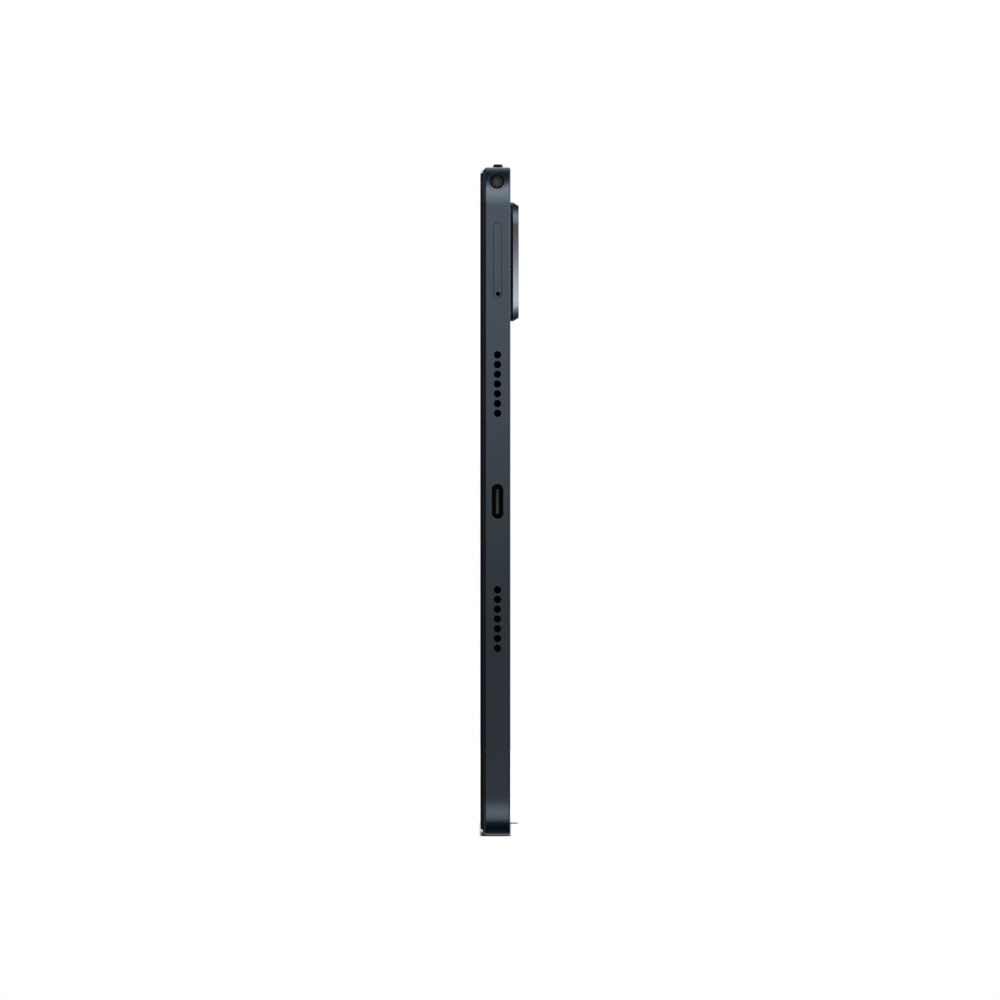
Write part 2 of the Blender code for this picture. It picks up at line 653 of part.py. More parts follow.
def speakers():
    """A speaker box behind each group of holes, with gauze between it and the wall."""
    for name, side, z in speaker_centres():
        place = (side * (INNER_END_X - 0.4 * MM), 0, z)
        depth, half_height = 13.5 * MM, 9.2 * MM
        ends = sorted((place[0], place[0] - side * depth))
        low = (ends[0], -2.3 * MM, z - half_height)
        high = (ends[1], 1.6 * MM, z + half_height)
        block(f"speaker_{name}", low, high, "black_plastic", 1 * MM, 2)
        sheet = sorted((side * (INNER_END_X - 0.3 * MM), side * (INNER_END_X - 0.1 * MM)))
        mesh_low = (sheet[0], PORT_Y - 1.5 * MM, z - 8.9 * MM)
        mesh_high = (sheet[1], PORT_Y + 1.5 * MM, z + 8.9 * MM)
        block(f"speaker_mesh_{name}", mesh_low, mesh_high, "gauze")


def microphone():
    low = (MIC_X - 1.9 * MM, PORT_Y - 1.2 * MM, INNER_TOP - 3.3 * MM)
    high = (MIC_X + 1.9 * MM, PORT_Y + 1.2 * MM, INNER_TOP - 0.3 * MM)
    block("microphone", low, high, "steel")


def button(name, x, pivot_z, length, flange_low, flange_high):
    """A cap that stands out of the top wall, with a wider flange that keeps it in."""
    place = (x, BUTTON_Y, pivot_z)
    top = HEIGHT + BUTTON_PROUD - pivot_z
    narrow = BUTTON_WIDTH - BUTTON_TOP_WIDTH
    levels = [(flange_high - 0.1 * MM - pivot_z, 0.0), (top - 0.55 * MM, 0.0)]
    levels += [(top - 0.2 * MM, 0.25 * narrow), (top, narrow)]
    sections = []
    for level, inset in levels:
        width = BUTTON_WIDTH - inset
        sections.append((level, length - inset, width, width / 2))
    cap = solid(name, "Z", place, sections, "anodised_aluminium", 4)
    size = (length + 1.6 * MM, BUTTON_WIDTH + 0.8 * MM)
    join(cap, pill("flange", "Z", (x, BUTTON_Y, 0), size, flange_low, flange_high))


def buttons():
    power_low, power_high = INNER_TOP - 0.8 * MM, INNER_TOP - 0.25 * MM
    button("power_button", POWER_X, HEIGHT, POWER_LENGTH, power_low, power_high)
    volume_low, volume_high = INNER_TOP - 1.05 * MM, INNER_TOP - 0.45 * MM
    button("volume_rocker", VOLUME_X, VOLUME_PIVOT_Z, VOLUME_LENGTH, volume_low, volume_high)


def key_switches():
    """The bracket behind the buttons and the ribbon with its three switches."""
    plate_top = INNER_TOP - 3.0 * MM
    plate_low = (-110 * MM, -2.2 * MM, plate_top - 0.7 * MM)
    plate_high = (-53 * MM, BOARD_BACK, plate_top)
    bracket = block("key_bracket", plate_low, plate_high, "steel")
    foot_low = (-110 * MM, BOARD_FRONT, plate_top - 4.7 * MM)
    foot_high = (-53 * MM, BOARD_BACK, plate_top - 0.3 * MM)
    join(bracket, block("foot", foot_low, foot_high))
    drill(bracket, BRACKET_SCREWS)
    flex_bottom, flex_top = plate_top + 0.05 * MM, plate_top + 0.35 * MM
    flex = block("key_flex", (-106 * MM, -1.9 * MM, flex_bottom), (-54 * MM, 1 * MM, flex_top), "flex_film")
    offset = VOLUME_SWITCH_OFFSET
    for x in (POWER_X, VOLUME_X - offset, VOLUME_X + offset):
        switch_top = INNER_TOP - 1.35 * MM
        join(flex, cylinder("switch", "Z", (x, BUTTON_Y, 0), 1.3 * MM, flex_bottom + 0.1 * MM, switch_top))


def screws():
    """One flat-headed screw in each place, all of the same size."""
    groups = [
        ("board_screw", BOARD_SCREWS),
        ("sub_board_screw", SUB_BOARD_SCREWS),
        ("bracket_screw", BRACKET_SCREWS),
    ]
    head_rear = BOARD_FRONT - GLUE_GAP
    for group, places in groups:
        for number, (x, z) in enumerate(places, start=1):
            place = (x * MM, head_rear, z * MM)
            name = f"{group}_{number}"
            screw = cylinder(name, "Y", place, 1.3 * MM, -0.5 * MM, 0, "steel", 3)
            shank_end = SCREW_END - head_rear
            join(screw, cylinder("shank", "Y", place, SCREW_RADIUS, -0.1 * MM, shank_end, quarter=3))


def build():
    clear_scene()
    rear_housing()
    front_bezel_ring()
    cover_glass()
    display_stack()
    display_flex()
    front_camera_module()
    camera_island()
    rear_camera()
    boards()
    board_flex()
    usb_socket()
    headphone_jack()
    card_tray()
    card_reader()
    eject_parts()
    batteries()
    speakers()
    microphone()
    buttons()
    key_switches()
    screws()


build()
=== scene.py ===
"""The finished look of a tablet computer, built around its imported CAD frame.

The tablet stands upright on a long edge. +X points to the port edge, -Y to where the screen faces,
+Y to the rear, and +Z up. Lengths are metres.
"""

import json
import math
from itertools import pairwise

import bmesh
import bpy
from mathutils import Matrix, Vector

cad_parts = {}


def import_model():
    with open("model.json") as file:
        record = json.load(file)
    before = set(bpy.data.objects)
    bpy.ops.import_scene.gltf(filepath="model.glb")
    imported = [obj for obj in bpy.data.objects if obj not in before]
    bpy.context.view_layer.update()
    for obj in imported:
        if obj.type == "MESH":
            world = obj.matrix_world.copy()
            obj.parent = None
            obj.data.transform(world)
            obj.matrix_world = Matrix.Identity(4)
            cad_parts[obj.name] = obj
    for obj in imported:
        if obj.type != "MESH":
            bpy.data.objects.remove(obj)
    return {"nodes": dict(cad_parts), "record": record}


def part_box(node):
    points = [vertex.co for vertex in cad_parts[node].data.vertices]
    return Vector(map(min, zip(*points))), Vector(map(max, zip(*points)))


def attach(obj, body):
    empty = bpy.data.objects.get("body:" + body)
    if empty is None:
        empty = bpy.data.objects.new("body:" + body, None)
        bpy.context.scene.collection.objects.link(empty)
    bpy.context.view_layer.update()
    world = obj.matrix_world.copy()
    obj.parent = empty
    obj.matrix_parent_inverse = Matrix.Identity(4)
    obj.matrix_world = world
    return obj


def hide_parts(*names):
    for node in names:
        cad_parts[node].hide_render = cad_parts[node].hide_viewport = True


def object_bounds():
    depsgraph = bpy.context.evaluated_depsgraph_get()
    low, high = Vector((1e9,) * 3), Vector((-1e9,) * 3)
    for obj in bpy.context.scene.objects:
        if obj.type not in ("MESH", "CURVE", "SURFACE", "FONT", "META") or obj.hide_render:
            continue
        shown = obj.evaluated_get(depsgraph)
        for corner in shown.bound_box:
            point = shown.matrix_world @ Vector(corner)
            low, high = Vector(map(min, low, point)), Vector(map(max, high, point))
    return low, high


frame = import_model()
cad_low, cad_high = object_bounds()

MM = 0.001

# Planes and edges that the frame gives.
HOUSING_LOW, HOUSING_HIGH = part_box("rear_housing")
GLASS_LOW, GLASS_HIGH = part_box("cover_glass")
ISLAND_LOW, ISLAND_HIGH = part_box("camera_island")
FRONT = GLASS_LOW[1]
LIP_Y = HOUSING_LOW[1]
BACK = HOUSING_HIGH[1]
ISLAND_FACE = ISLAND_HIGH[1]
END_X = HOUSING_HIGH[0]
HEIGHT = HOUSING_HIGH[2]
LENGTH = 2 * END_X
MID_Z = HEIGHT / 2

# The body's own shape.
CORNER_RADIUS = 9.8 * MM
SIDE_Y = FRONT + 1.43 * MM
LEDGE_Y = FRONT + 1.95 * MM
LIP_INSET = 0.42 * MM
SEAT_INSET = 0.55 * MM
SIDE_WALL = 1.4 * MM
BACK_WALL = 0.8 * MM
EDGE_RADIUS = 0.5 * MM
GLASS_FACE_INSET = 1.05 * MM
GLASS_REAR_INSET = 0.66 * MM
CORNER_STEPS = 36

# Ports on the +X edge.
PORT_Y = -0.565 * MM
JACK_Y = -0.64 * MM
JACK_Z = HEIGHT - 3.6 * MM
JACK_RADIUS = 1.83 * MM
JACK_CENTRE = (JACK_Y, JACK_Z)
JACK_BORE_RADIUS = 1.70 * MM
USB_SIZE = (2.75 * MM, 8.73 * MM)
USB_CENTRE = (PORT_Y, MID_Z)
TRAY_CENTRE = (-0.553 * MM, 145.16 * MM)
TRAY_SLOT = (2.14 * MM, 19.2 * MM)
TRAY_GAP = 0.08 * MM
EJECT_CENTRE = (-0.44 * MM, 136.68 * MM)
EJECT_RADIUS = 0.52 * MM
SPEAKER_OFFSET = 29.65 * MM
SPEAKER_PITCH = 2.46 * MM
SPEAKER_HOLES = 7
SPEAKER_HOLE_RADIUS = 0.925 * MM

# Buttons on the top edge.
BUTTON_Y = -0.44 * MM
BUTTON_WIDTH = 2.47 * MM
BUTTON_GAP = 0.1 * MM
FLANGE_REACH = 0.8 * MM
MIC_X = 20.0 * MM

# Display and front camera.
DISPLAY_HALF = (118.45 * MM, 74.05 * MM)
DISPLAY_CORNER = 4.0 * MM
FRONT_CAMERA_Z = HEIGHT - 5.0 * MM

# The top of the lens stack, below the rear camera's window.
LENS_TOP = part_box("camera_window")[0][1] - 0.06 * MM

# The camera: its lens and sensor in millimetres, the width that its frame takes in, and its aim.
LENS_LENGTH = 1650
SENSOR_WIDTH = 36
FRAME_WIDTH = 252.3 * MM
AIM_Y = 0.09 * MM

# Colours of the glass: its ground edge, the ink behind it, and the front camera.
GROUND_EDGE = (0.055, 0.052, 0.050)
PRINTED_INK = (0.0068, 0.0062, 0.0060)
WINDOW_GREY = (0.018, 0.020, 0.024)
PUPIL_BLUE = (0.002, 0.003, 0.010)

NOISE_SPAN = (0.3, 0.7)
SHARP_ANGLE = 30
TINY = 1e-7
PLANES = {"X": (1, 2, 0), "Y": (0, 2, 1), "Z": (0, 1, 2)}


# ---------------------------------------------------------------- materials


def blank_material(name, colour, roughness, metallic=0.0):
    """A Principled material with its plain values set, and its nodes for more."""
    made = bpy.data.materials.new(name)
    made.use_nodes = True
    shader = made.node_tree.nodes["Principled BSDF"]
    shader.inputs["Base Color"].default_value = (*colour, 1.0)
    shader.inputs["Roughness"].default_value = roughness
    shader.inputs["Metallic"].default_value = metallic
    return made, shader


def add_node(owner, kind, **settings):
    """A node in a material or the world. A key that names an input sets that input's value."""
    node = owner.node_tree.nodes.new(kind)
    for key, value in settings.items():
        if hasattr(node, key):
            setattr(node, key, value)
        else:
            node.inputs[key.replace("_", " ")].default_value = value
    return node


def link(owner, source, target):
    owner.node_tree.links.new(source, target)


def object_coordinates(material):
    return add_node(material, "ShaderNodeTexCoord").outputs["Object"]


def noise(material, scale, detail=2.0, stretch=(1.0, 1.0, 1.0)):
    """A noise in object space, in cells per metre. Stretch scales the coordinates of each axis."""
    mapping = add_node(material, "ShaderNodeMapping", Scale=stretch)
    link(material, object_coordinates(material), mapping.inputs["Vector"])
    texture = add_node(material, "ShaderNodeTexNoise", Scale=scale, Detail=detail)
    link(material, mapping.outputs["Vector"], texture.inputs["Vector"])
    return texture.outputs["Fac"]


def map_range(owner, value, source, result=(0.0, 1.0), curve="LINEAR"):
    """Spreads a value's source range over the result range, and holds it at both ends."""
    node = add_node(owner, "ShaderNodeMapRange", interpolation_type=curve, From_Min=source[0],
                    From_Max=source[1], To_Min=result[0], To_Max=result[1])
    link(owner, value, node.inputs["Value"])
    return node.outputs["Result"]


def remap(material, value, low, high):
    """Spreads a noise's middle range over low to high."""
    return map_range(material, value, NOISE_SPAN, (low, high))


def ramp(owner, value, stops):
    """A colour by a value, from (position, level, hue) rows."""
    node = add_node(owner, "ShaderNodeValToRGB")
    elements = node.color_ramp.elements
    elements.remove(elements[-1])
    for number, (position, level, hue) in enumerate(stops):
        element = elements[0] if number == 0 else elements.new(position)
        element.position = position
        element.color = (level * hue[0], level * hue[1], level * hue[2], 1.0)
    link(owner, value, node.inputs["Fac"])
    return node.outputs["Color"]


def tint(material, value, dark, light):
    """A colour between two, by a noise."""
    return ramp(material, value, [(NOISE_SPAN[0], 1.0, dark), (NOISE_SPAN[1], 1.0, light)])


def bump(material, shader, value, distance):
    """Raises the surface by a value, up to a distance."""
    node = add_node(material, "ShaderNodeBump", Distance=distance, Strength=1.0)
    link(material, value, node.inputs["Height"])
    link(material, node.outputs["Normal"], shader.inputs["Normal"])


def calculate(owner, operation, first, second=None):
    """A maths node's result, from one output and, where needed, a second output or a plain number."""
    node = add_node(owner, "ShaderNodeMath", operation=operation)
    link(owner, first, node.inputs[0])
    if isinstance(second, bpy.types.NodeSocket):
        link(owner, second, node.inputs[1])
    elif second is not None:
        node.inputs[1].default_value = second
    return node.outputs[0]


def mix_colour(owner, factor, first, second):
    """Blends from one colour, or colour output, to another by a mask."""
    node = add_node(owner, "ShaderNodeMix", data_type="RGBA")
    link(owner, factor, node.inputs["Factor"])
    for socket, value in ((node.inputs[6], first), (node.inputs[7], second)):
        if isinstance(value, tuple):
            socket.default_value = (*value, 1.0)
        else:
            link(owner, value, socket)
    return node.outputs[2]


def distance_outside(material, centre, half, radius):
    """How far a point lies outside a rounded rectangle in X and Z, in metres."""
    split = add_node(material, "ShaderNodeSeparateXYZ")
    link(material, object_coordinates(material), split.inputs["Vector"])
    squares = []
    for output, middle, reach in (("X", centre[0], half[0]), ("Z", centre[1], half[1])):
        offset = calculate(material, "SUBTRACT", split.outputs[output], middle)
        over = calculate(material, "SUBTRACT", calculate(material, "ABSOLUTE", offset), reach - radius)
        squares.append(calculate(material, "POWER", calculate(material, "MAXIMUM", over, 0.0), 2.0))
    root = calculate(material, "SQRT", calculate(material, "ADD", *squares))
    return calculate(material, "SUBTRACT", root, radius)


def inside_mask(material, distance, blur):
    """1 inside an outline and 0 outside it, with a soft edge."""
    return map_range(material, distance, (-blur, blur), (1.0, 0.0))


def bricks(material, shader, turn, depth, **settings):
    """A brick pattern in object space, turned by degrees about each axis, for colour and height."""
    pattern = add_node(material, "ShaderNodeTexBrick", **settings)
    mapping = add_node(material, "ShaderNodeMapping", Rotation=[math.radians(angle) for angle in turn])
    link(material, object_coordinates(material), mapping.inputs["Vector"])
    link(material, mapping.outputs["Vector"], pattern.inputs["Vector"])
    link(material, pattern.outputs["Color"], shader.inputs["Base Color"])
    bump(material, shader, pattern.outputs["Fac"], depth)


def grained(name, colour, roughness, metallic, cells, depth, spread, contrast):
    """A surface with a fine grain: slight changes of tone, gloss and height."""
    made, shader = blank_material(name, colour, roughness, metallic)
    grain = noise(made, cells)
    dark = [c * (1 - contrast) for c in colour]
    light = [min(1.0, c * (1 + contrast)) for c in colour]
    link(made, tint(made, grain, dark, light), shader.inputs["Base Color"])
    link(made, remap(made, grain, roughness - spread, roughness + spread), shader.inputs["Roughness"])
    bump(made, shader, grain, depth)
    return made


def anodised_aluminium():
    """Blasted and anodised blue-grey metal, with a fine even grain."""
    return grained("anodised_aluminium", (0.205, 0.256, 0.310), roughness=0.28, metallic=1.0, cells=5200,
                   depth=0.5e-6, spread=0.04, contrast=0.06)


def island_metal():
    """The island's polished wall in the body's colour."""
    return grained("island_metal", (0.300, 0.330, 0.355), roughness=0.10, metallic=1.0, cells=2600,
                   depth=0.05e-6, spread=0.02, contrast=0.03)


def island_face_glass():
    """The dark gloss of the island's outer face."""
    made = grained("island_face_glass", (0.020, 0.024, 0.028), roughness=0.10, metallic=0.0, cells=900,
                   depth=0.05e-6, spread=0.03, contrast=0.1)
    made.node_tree.nodes["Principled BSDF"].inputs["Specular IOR Level"].default_value = 0.35
    return made


def lens_metal():
    """Turned dark metal of the camera's ring."""
    made, shader = blank_material("lens_metal", (0.060, 0.064, 0.070), 0.24, 1.0)
    grain = noise(made, 3000)
    link(made, remap(made, grain, 0.18, 0.30), shader.inputs["Roughness"])
    bump(made, shader, grain, 0.4e-6)
    return made


def plastic(name, colour, roughness):
    """Moulded plastic with a fine even grain."""
    return grained(name, colour, roughness, metallic=0.0, cells=3500, depth=1.0e-6, spread=0.06,
                   contrast=0.12)


def sheet_steel(name, colour, roughness):
    """Rolled metal with a faint grain along its length."""
    made, shader = blank_material(name, colour, roughness, 1.0)
    grain = noise(made, 1500, 3.0, (0.12, 1.0, 1.0))
    link(made, remap(made, grain, roughness - 0.08, roughness + 0.08), shader.inputs["Roughness"])
    bump(made, shader, grain, 0.8e-6)
    return made


def black_glass():
    """Black ink round a dark display that is switched off, a camera window and a greyer ground edge."""
    made, shader = blank_material("black_glass", (0.006, 0.006, 0.006), 0.06)
    lens_centre = (0.0, FRONT_CAMERA_Z)
    window_radius, pupil_radius = 1.7 * MM, 0.8 * MM
    display = distance_outside(made, (0.0, MID_Z), DISPLAY_HALF, DISPLAY_CORNER)
    window = distance_outside(made, lens_centre, (window_radius, window_radius), window_radius)
    pupil = distance_outside(made, lens_centre, (pupil_radius, pupil_radius), pupil_radius)
    smudge = noise(made, 38, 4.0)
    screen = tint(made, smudge, (0.0105, 0.0120, 0.0150), (0.0125, 0.0142, 0.0175))
    reach = (END_X - GLASS_FACE_INSET, HEIGHT / 2 - GLASS_FACE_INSET)
    printed = distance_outside(made, (0.0, MID_Z), reach, CORNER_RADIUS - GLASS_FACE_INSET)
    colour = mix_colour(made, inside_mask(made, printed, 0.02 * MM), GROUND_EDGE, PRINTED_INK)
    for outline_distance, inner in ((display, screen), (window, WINDOW_GREY), (pupil, PUPIL_BLUE)):
        colour = mix_colour(made, inside_mask(made, outline_distance, 0.05 * MM), colour, inner)
    link(made, colour, shader.inputs["Base Color"])
    link(made, remap(made, smudge, 0.045, 0.085), shader.inputs["Roughness"])
    return made


def bezel_plastic():
    return plastic("bezel_plastic", (0.135, 0.125, 0.118), 0.38)


def lens_glass():
    """The camera's coated window."""
    made, shader = blank_material("lens_glass", (0.85, 0.88, 0.95), 0.02)
    shader.inputs["Transmission Weight"].default_value = 1.0
    shader.inputs["IOR"].default_value = 1.45
    dust = noise(made, 400, 3.0)
    link(made, remap(made, dust, 0.015, 0.035), shader.inputs["Roughness"])
    return made


def coated_lens():
    """A lens element with a violet and green coating that changes across its face."""
    made, shader = blank_material("coated_lens", (0.010, 0.008, 0.020), 0.03)
    stain = noise(made, 120, 1.0)
    link(made, tint(made, stain, (0.006, 0.004, 0.022), (0.004, 0.016, 0.018)), shader.inputs["Base Color"])
    shader.inputs["Coat Weight"].default_value = 1.0
    shader.inputs["Coat Tint"].default_value = (0.75, 0.70, 1.0, 1.0)
    return made


def flash_diffuser():
    """Milky yellowish plastic over the flash."""
    made = grained("flash_diffuser", (0.78, 0.74, 0.60), roughness=0.28, metallic=0.0, cells=1800,
                   depth=2.0e-6, spread=0.05, contrast=0.06)
    shader = made.node_tree.nodes["Principled BSDF"]
    shader.inputs["Subsurface Weight"].default_value = 0.3
    shader.inputs["Subsurface Scale"].default_value = 0.5 * MM
    return made


def circuit_board():
    """Green solder mask over tracks, with a few lighter pads."""
    made, shader = blank_material("circuit_board", (0.012, 0.060, 0.040), 0.42)
    bricks(made, shader, (90, 0, 0), 12e-6, Scale=420, Mortar_Size=0.10, Color1=(0.008, 0.052, 0.034, 1.0),
           Color2=(0.012, 0.072, 0.046, 1.0), Mortar=(0.020, 0.110, 0.066, 1.0))
    return made


def flex_film():
    """Amber polyimide film with copper tracks showing through."""
    made, shader = blank_material("flex_film", (0.20, 0.085, 0.015), 0.34)
    wave = add_node(made, "ShaderNodeTexWave", bands_direction="Z", Scale=260)
    link(made, object_coordinates(made), wave.inputs["Vector"])
    tracks = tint(made, wave.outputs["Fac"], (0.17, 0.066, 0.010), (0.30, 0.135, 0.030))
    link(made, tracks, shader.inputs["Base Color"])
    bump(made, shader, wave.outputs["Fac"], 6e-6)
    return made


def battery_pouch():
    """Laminated foil, slightly creased."""
    made, shader = blank_material("battery_pouch", (0.24, 0.24, 0.25), 0.38, 1.0)
    crease = noise(made, 90, 5.0)
    link(made, tint(made, crease, (0.20, 0.20, 0.21), (0.28, 0.28, 0.29)), shader.inputs["Base Color"])
    link(made, remap(made, crease, 0.30, 0.46), shader.inputs["Roughness"])
    bump(made, shader, crease, 60e-6)
    return made


def gauze():
    """Fine black woven mesh behind the speaker holes."""
    made, shader = blank_material("gauze", (0.008, 0.008, 0.009), 0.7)
    bricks(made, shader, (0, 90, 0), 20e-6, Scale=5200, Mortar_Size=0.30, Color1=(0.012, 0.012, 0.013, 1.0),
           Color2=(0.009, 0.009, 0.010, 1.0), Mortar=(0.001, 0.001, 0.001, 1.0))
    return made


def display_film():
    return grained("display_film", (0.030, 0.034, 0.042), roughness=0.12, metallic=0.0, cells=200,
                   depth=0.2e-6, spread=0.03, contrast=0.1)


def light_guide():
    return grained("light_guide", (0.80, 0.82, 0.84), roughness=0.30, metallic=0.0, cells=1200,
                   depth=1.5e-6, spread=0.08, contrast=0.03)


def adhesive():
    return grained("adhesive", (0.32, 0.32, 0.31), roughness=0.45, metallic=0.0, cells=300,
                   depth=1.0e-6, spread=0.08, contrast=0.06)


def stage_white():
    """The floor's matte white."""
    made, shader = blank_material("stage_white", (0.92, 0.92, 0.92), 0.9)
    shader.inputs["Specular IOR Level"].default_value = 0.0
    return made


# ---------------------------------------------------------------- mesh tools


def outline(width, height, radius, steps):
    """Points of a rectangle with rounded corners about (0, 0), with steps facets on each corner."""
    points = []
    for corner, (side_u, side_v) in enumerate(((1, 1), (-1, 1), (-1, -1), (1, -1))):
        centre_u = side_u * (width / 2 - radius)
        centre_v = side_v * (height / 2 - radius)
        for step in range(steps + 1):
            angle = math.radians(90 * (corner + step / max(steps, 1)))
            point = (centre_u + radius * math.cos(angle), centre_v + radius * math.sin(angle))
            if not points or math.dist(point, points[-1]) > TINY:
                points.append(point)
    if math.dist(points[0], points[-1]) < TINY:
        points.pop()
    return points


def ring(axis, centre, position, points):
    """Puts flat (u, v) points into space, about a centre, at a position along an axis."""
    across, up, along = PLANES[axis]
    placed = []
    for u, v in points:
        corner = [0.0, 0.0, 0.0]
        corner[across] = centre[0] + u
        corner[up] = centre[1] + v
        corner[along] = position
        placed.append(corner)
    return placed


def rounded_ring(axis, centre, position, size, radius, steps, grow=0.0):
    """A rounded rectangle's ring, grown outwards all round."""
    points = outline(size[0] + 2 * grow, size[1] + 2 * grow, radius + grow, steps)
    return ring(axis, centre, position, points)


def round_ring(axis, centre, position, radius, steps):
    return rounded_ring(axis, centre, position, (2 * radius, 2 * radius), radius, steps)


def add_band(builder, near, far):
    """Adds the faces between two rings of the same number of points."""
    faces = []
    for index in range(len(near)):
        after = (index + 1) % len(near)
        faces.append(builder.faces.new((near[index], near[after], far[after], far[index])))
    return faces


def add_loft(builder, rings):
    """Adds a closed solid through rings of the same number of points."""
    verts = [[builder.verts.new(point) for point in points] for points in rings]
    faces = [builder.faces.new(verts[0]), builder.faces.new(verts[-1])]
    for near, far in pairwise(verts):
        faces += add_band(builder, near, far)
    bmesh.ops.recalc_face_normals(builder, faces=faces)


def add_tube(builder, rings):
    """Adds a ring-shaped solid through rings that go once round its section."""
    verts = [[builder.verts.new(point) for point in points] for points in rings]
    faces = []
    for near, far in zip(verts, verts[1:] + verts[:1]):
        faces += add_band(builder, near, far)
    bmesh.ops.recalc_face_normals(builder, faces=faces)


def to_object(name, builder, material=None):
    """Makes a smooth-shaded object with sharp edges kept."""
    mesh = bpy.data.meshes.new(name)
    builder.to_mesh(mesh)
    builder.free()
    made = bpy.data.objects.new(name, mesh)
    bpy.context.scene.collection.objects.link(made)
    if material:
        mesh.materials.append(material)
    shade(made)
    return made


def shade(piece):
    piece.data.shade_smooth()
    piece.data.set_sharp_from_angle(angle=math.radians(SHARP_ANGLE))


def loft(name, rings, material=None):
    builder = bmesh.new()
    add_loft(builder, rings)
    return to_object(name, builder, material)


def boolean(target, other, operation="DIFFERENCE"):
    """Applies a Boolean to the target and removes the other object."""
    modifier = target.modifiers.new("cut", "BOOLEAN")
    modifier.operation = operation
    modifier.solver = "EXACT"
    modifier.object = other
    apply_modifiers(target)
    bpy.data.objects.remove(other, do_unlink=True)


def apply_modifiers(target):
    bpy.context.view_layer.update()
    shape = target.evaluated_get(bpy.context.evaluated_depsgraph_get())
    mesh = bpy.data.meshes.new_from_object(shape)
    target.modifiers.clear()
    target.data = mesh
    mesh.name = target.name
    shade(target)


def flat_normals(piece):
    """Keeps wide flat faces flat next to fine curved ones."""
    modifier = piece.modifiers.new("normals", "WEIGHTED_NORMAL")
    modifier.keep_sharp = True
    modifier.weight = 100


def quarter_round(radius, steps):
    """(depth, offset) pairs of a rounded edge, from its wall out to the surface."""
    pairs = []
    for step in range(steps + 1):
        angle = math.radians(90 * step / steps)
        pairs.append((radius * (1 - math.sin(angle)), radius * (1 - math.cos(angle))))
    return pairs


def dome_profile(radius, height, steps):
    """(rise, radius) pairs of a dome, from its rim to its crown."""
    pairs = []
    for step in range(steps + 1):
        angle = math.radians(90 * step / steps)
        pairs.append((height * math.sin(angle), max(0.02 * MM, radius * math.cos(angle))))
    return pairs


def rear_centre(node):
    """The middle of a CAD node's box in X and Z."""
    low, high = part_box(node)
    return ((low[0] + high[0]) / 2, (low[2] + high[2]) / 2)


def declare(piece, body, slot, *nodes):
    """Attaches a piece to the CAD body that it rides on, and hides the CAD nodes that it stands for. The slot
    argument is not used.
    """
    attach(piece, body)
    if nodes:
        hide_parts(*nodes)
    return piece


# ---------------------------------------------------------------- housing


def body_ring(y, inset, steps=CORNER_STEPS):
    size = (LENGTH - 2 * inset, HEIGHT - 2 * inset)
    return rounded_ring("Y", (0.0, MID_Z), y, size, CORNER_RADIUS - inset, steps)


def cap_length(node):
    """The length of a button's cap, without the flange inside that reaches past both its ends."""
    low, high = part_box(node)
    return high[0] - low[0] - 2 * FLANGE_REACH


def add_opening(builder, axis, side, surface, centre, size, radius, edge, depth, steps):
    """Adds a cutter for an opening with a rounded edge, through a flat wall.

    Side is 1 for a wall that faces along the axis and -1 for one that faces against it.
    """
    skim = 0.004 * MM
    levels = [(depth, 0.0)] + quarter_round(edge, 4)[:-1] + [(skim, edge), (-1.0 * MM, edge)]
    rings = []
    for below, grow in levels:
        position = surface - side * below
        rings.append(rounded_ring(axis, centre, position, size, radius, steps, grow))
    add_loft(builder, rings)


def add_hole(builder, axis, side, surface, centre, radius, edge, depth):
    """The same for a round hole."""
    size = (2 * radius, 2 * radius)
    add_opening(builder, axis, side, surface, centre, size, radius, edge, depth, 8)


def corner_surface_x(z):
    """Where the rounded upper corner of the +X end lies at a height."""
    rise = max(0.0, z - (HEIGHT - CORNER_RADIUS))
    return END_X - CORNER_RADIUS + math.sqrt(CORNER_RADIUS**2 - rise**2)


def add_jack_opening(builder):
    """Adds the cutter of the headphone hole, whose shallow counterbore follows the rounded corner."""
    rim_radius = 2.40 * MM
    depth, slant, wall = 0.09 * MM, 0.04 * MM, 0.05 * MM
    levels = [
        (None, JACK_RADIUS),
        (depth + slant, JACK_RADIUS),
        (depth, rim_radius - wall),
        (0.0, rim_radius),
        (-1.5 * MM, rim_radius),
    ]
    rings = []
    sides = 64
    for below, radius in levels:
        points = []
        for index in range(sides):
            angle = 2 * math.pi * index / sides
            y = JACK_Y + radius * math.cos(angle)
            z = JACK_Z + radius * math.sin(angle)
            x = END_X - 10 * MM if below is None else corner_surface_x(z) - below
            points.append((x, y, z))
        rings.append(points)
    add_loft(builder, rings)


def speaker_places():
    """(side, height) of each hole of the four speaker groups."""
    first = -(SPEAKER_HOLES - 1) / 2
    places = []
    for side in (1, -1):
        for level in (1, -1):
            for number in range(SPEAKER_HOLES):
                z = MID_Z + level * SPEAKER_OFFSET + (first + number) * SPEAKER_PITCH
                places.append((side, z))
    return places


def add_port_openings(builder, depth):
    """Adds the cutters of the speaker holes, the connector, the card slot and the headphone hole."""
    for side, z in speaker_places():
        add_hole(builder, "X", side, side * END_X, (PORT_Y, z), SPEAKER_HOLE_RADIUS, 0.055 * MM, depth)
    usb_radius, tray_radius = USB_SIZE[0] / 2, TRAY_SLOT[0] / 2
    add_opening(builder, "X", 1, END_X, (PORT_Y, MID_Z), USB_SIZE, usb_radius, 0.16 * MM, depth, 12)
    add_opening(builder, "X", 1, END_X, TRAY_CENTRE, TRAY_SLOT, tray_radius, 0.05 * MM, depth, 12)
    add_jack_opening(builder)


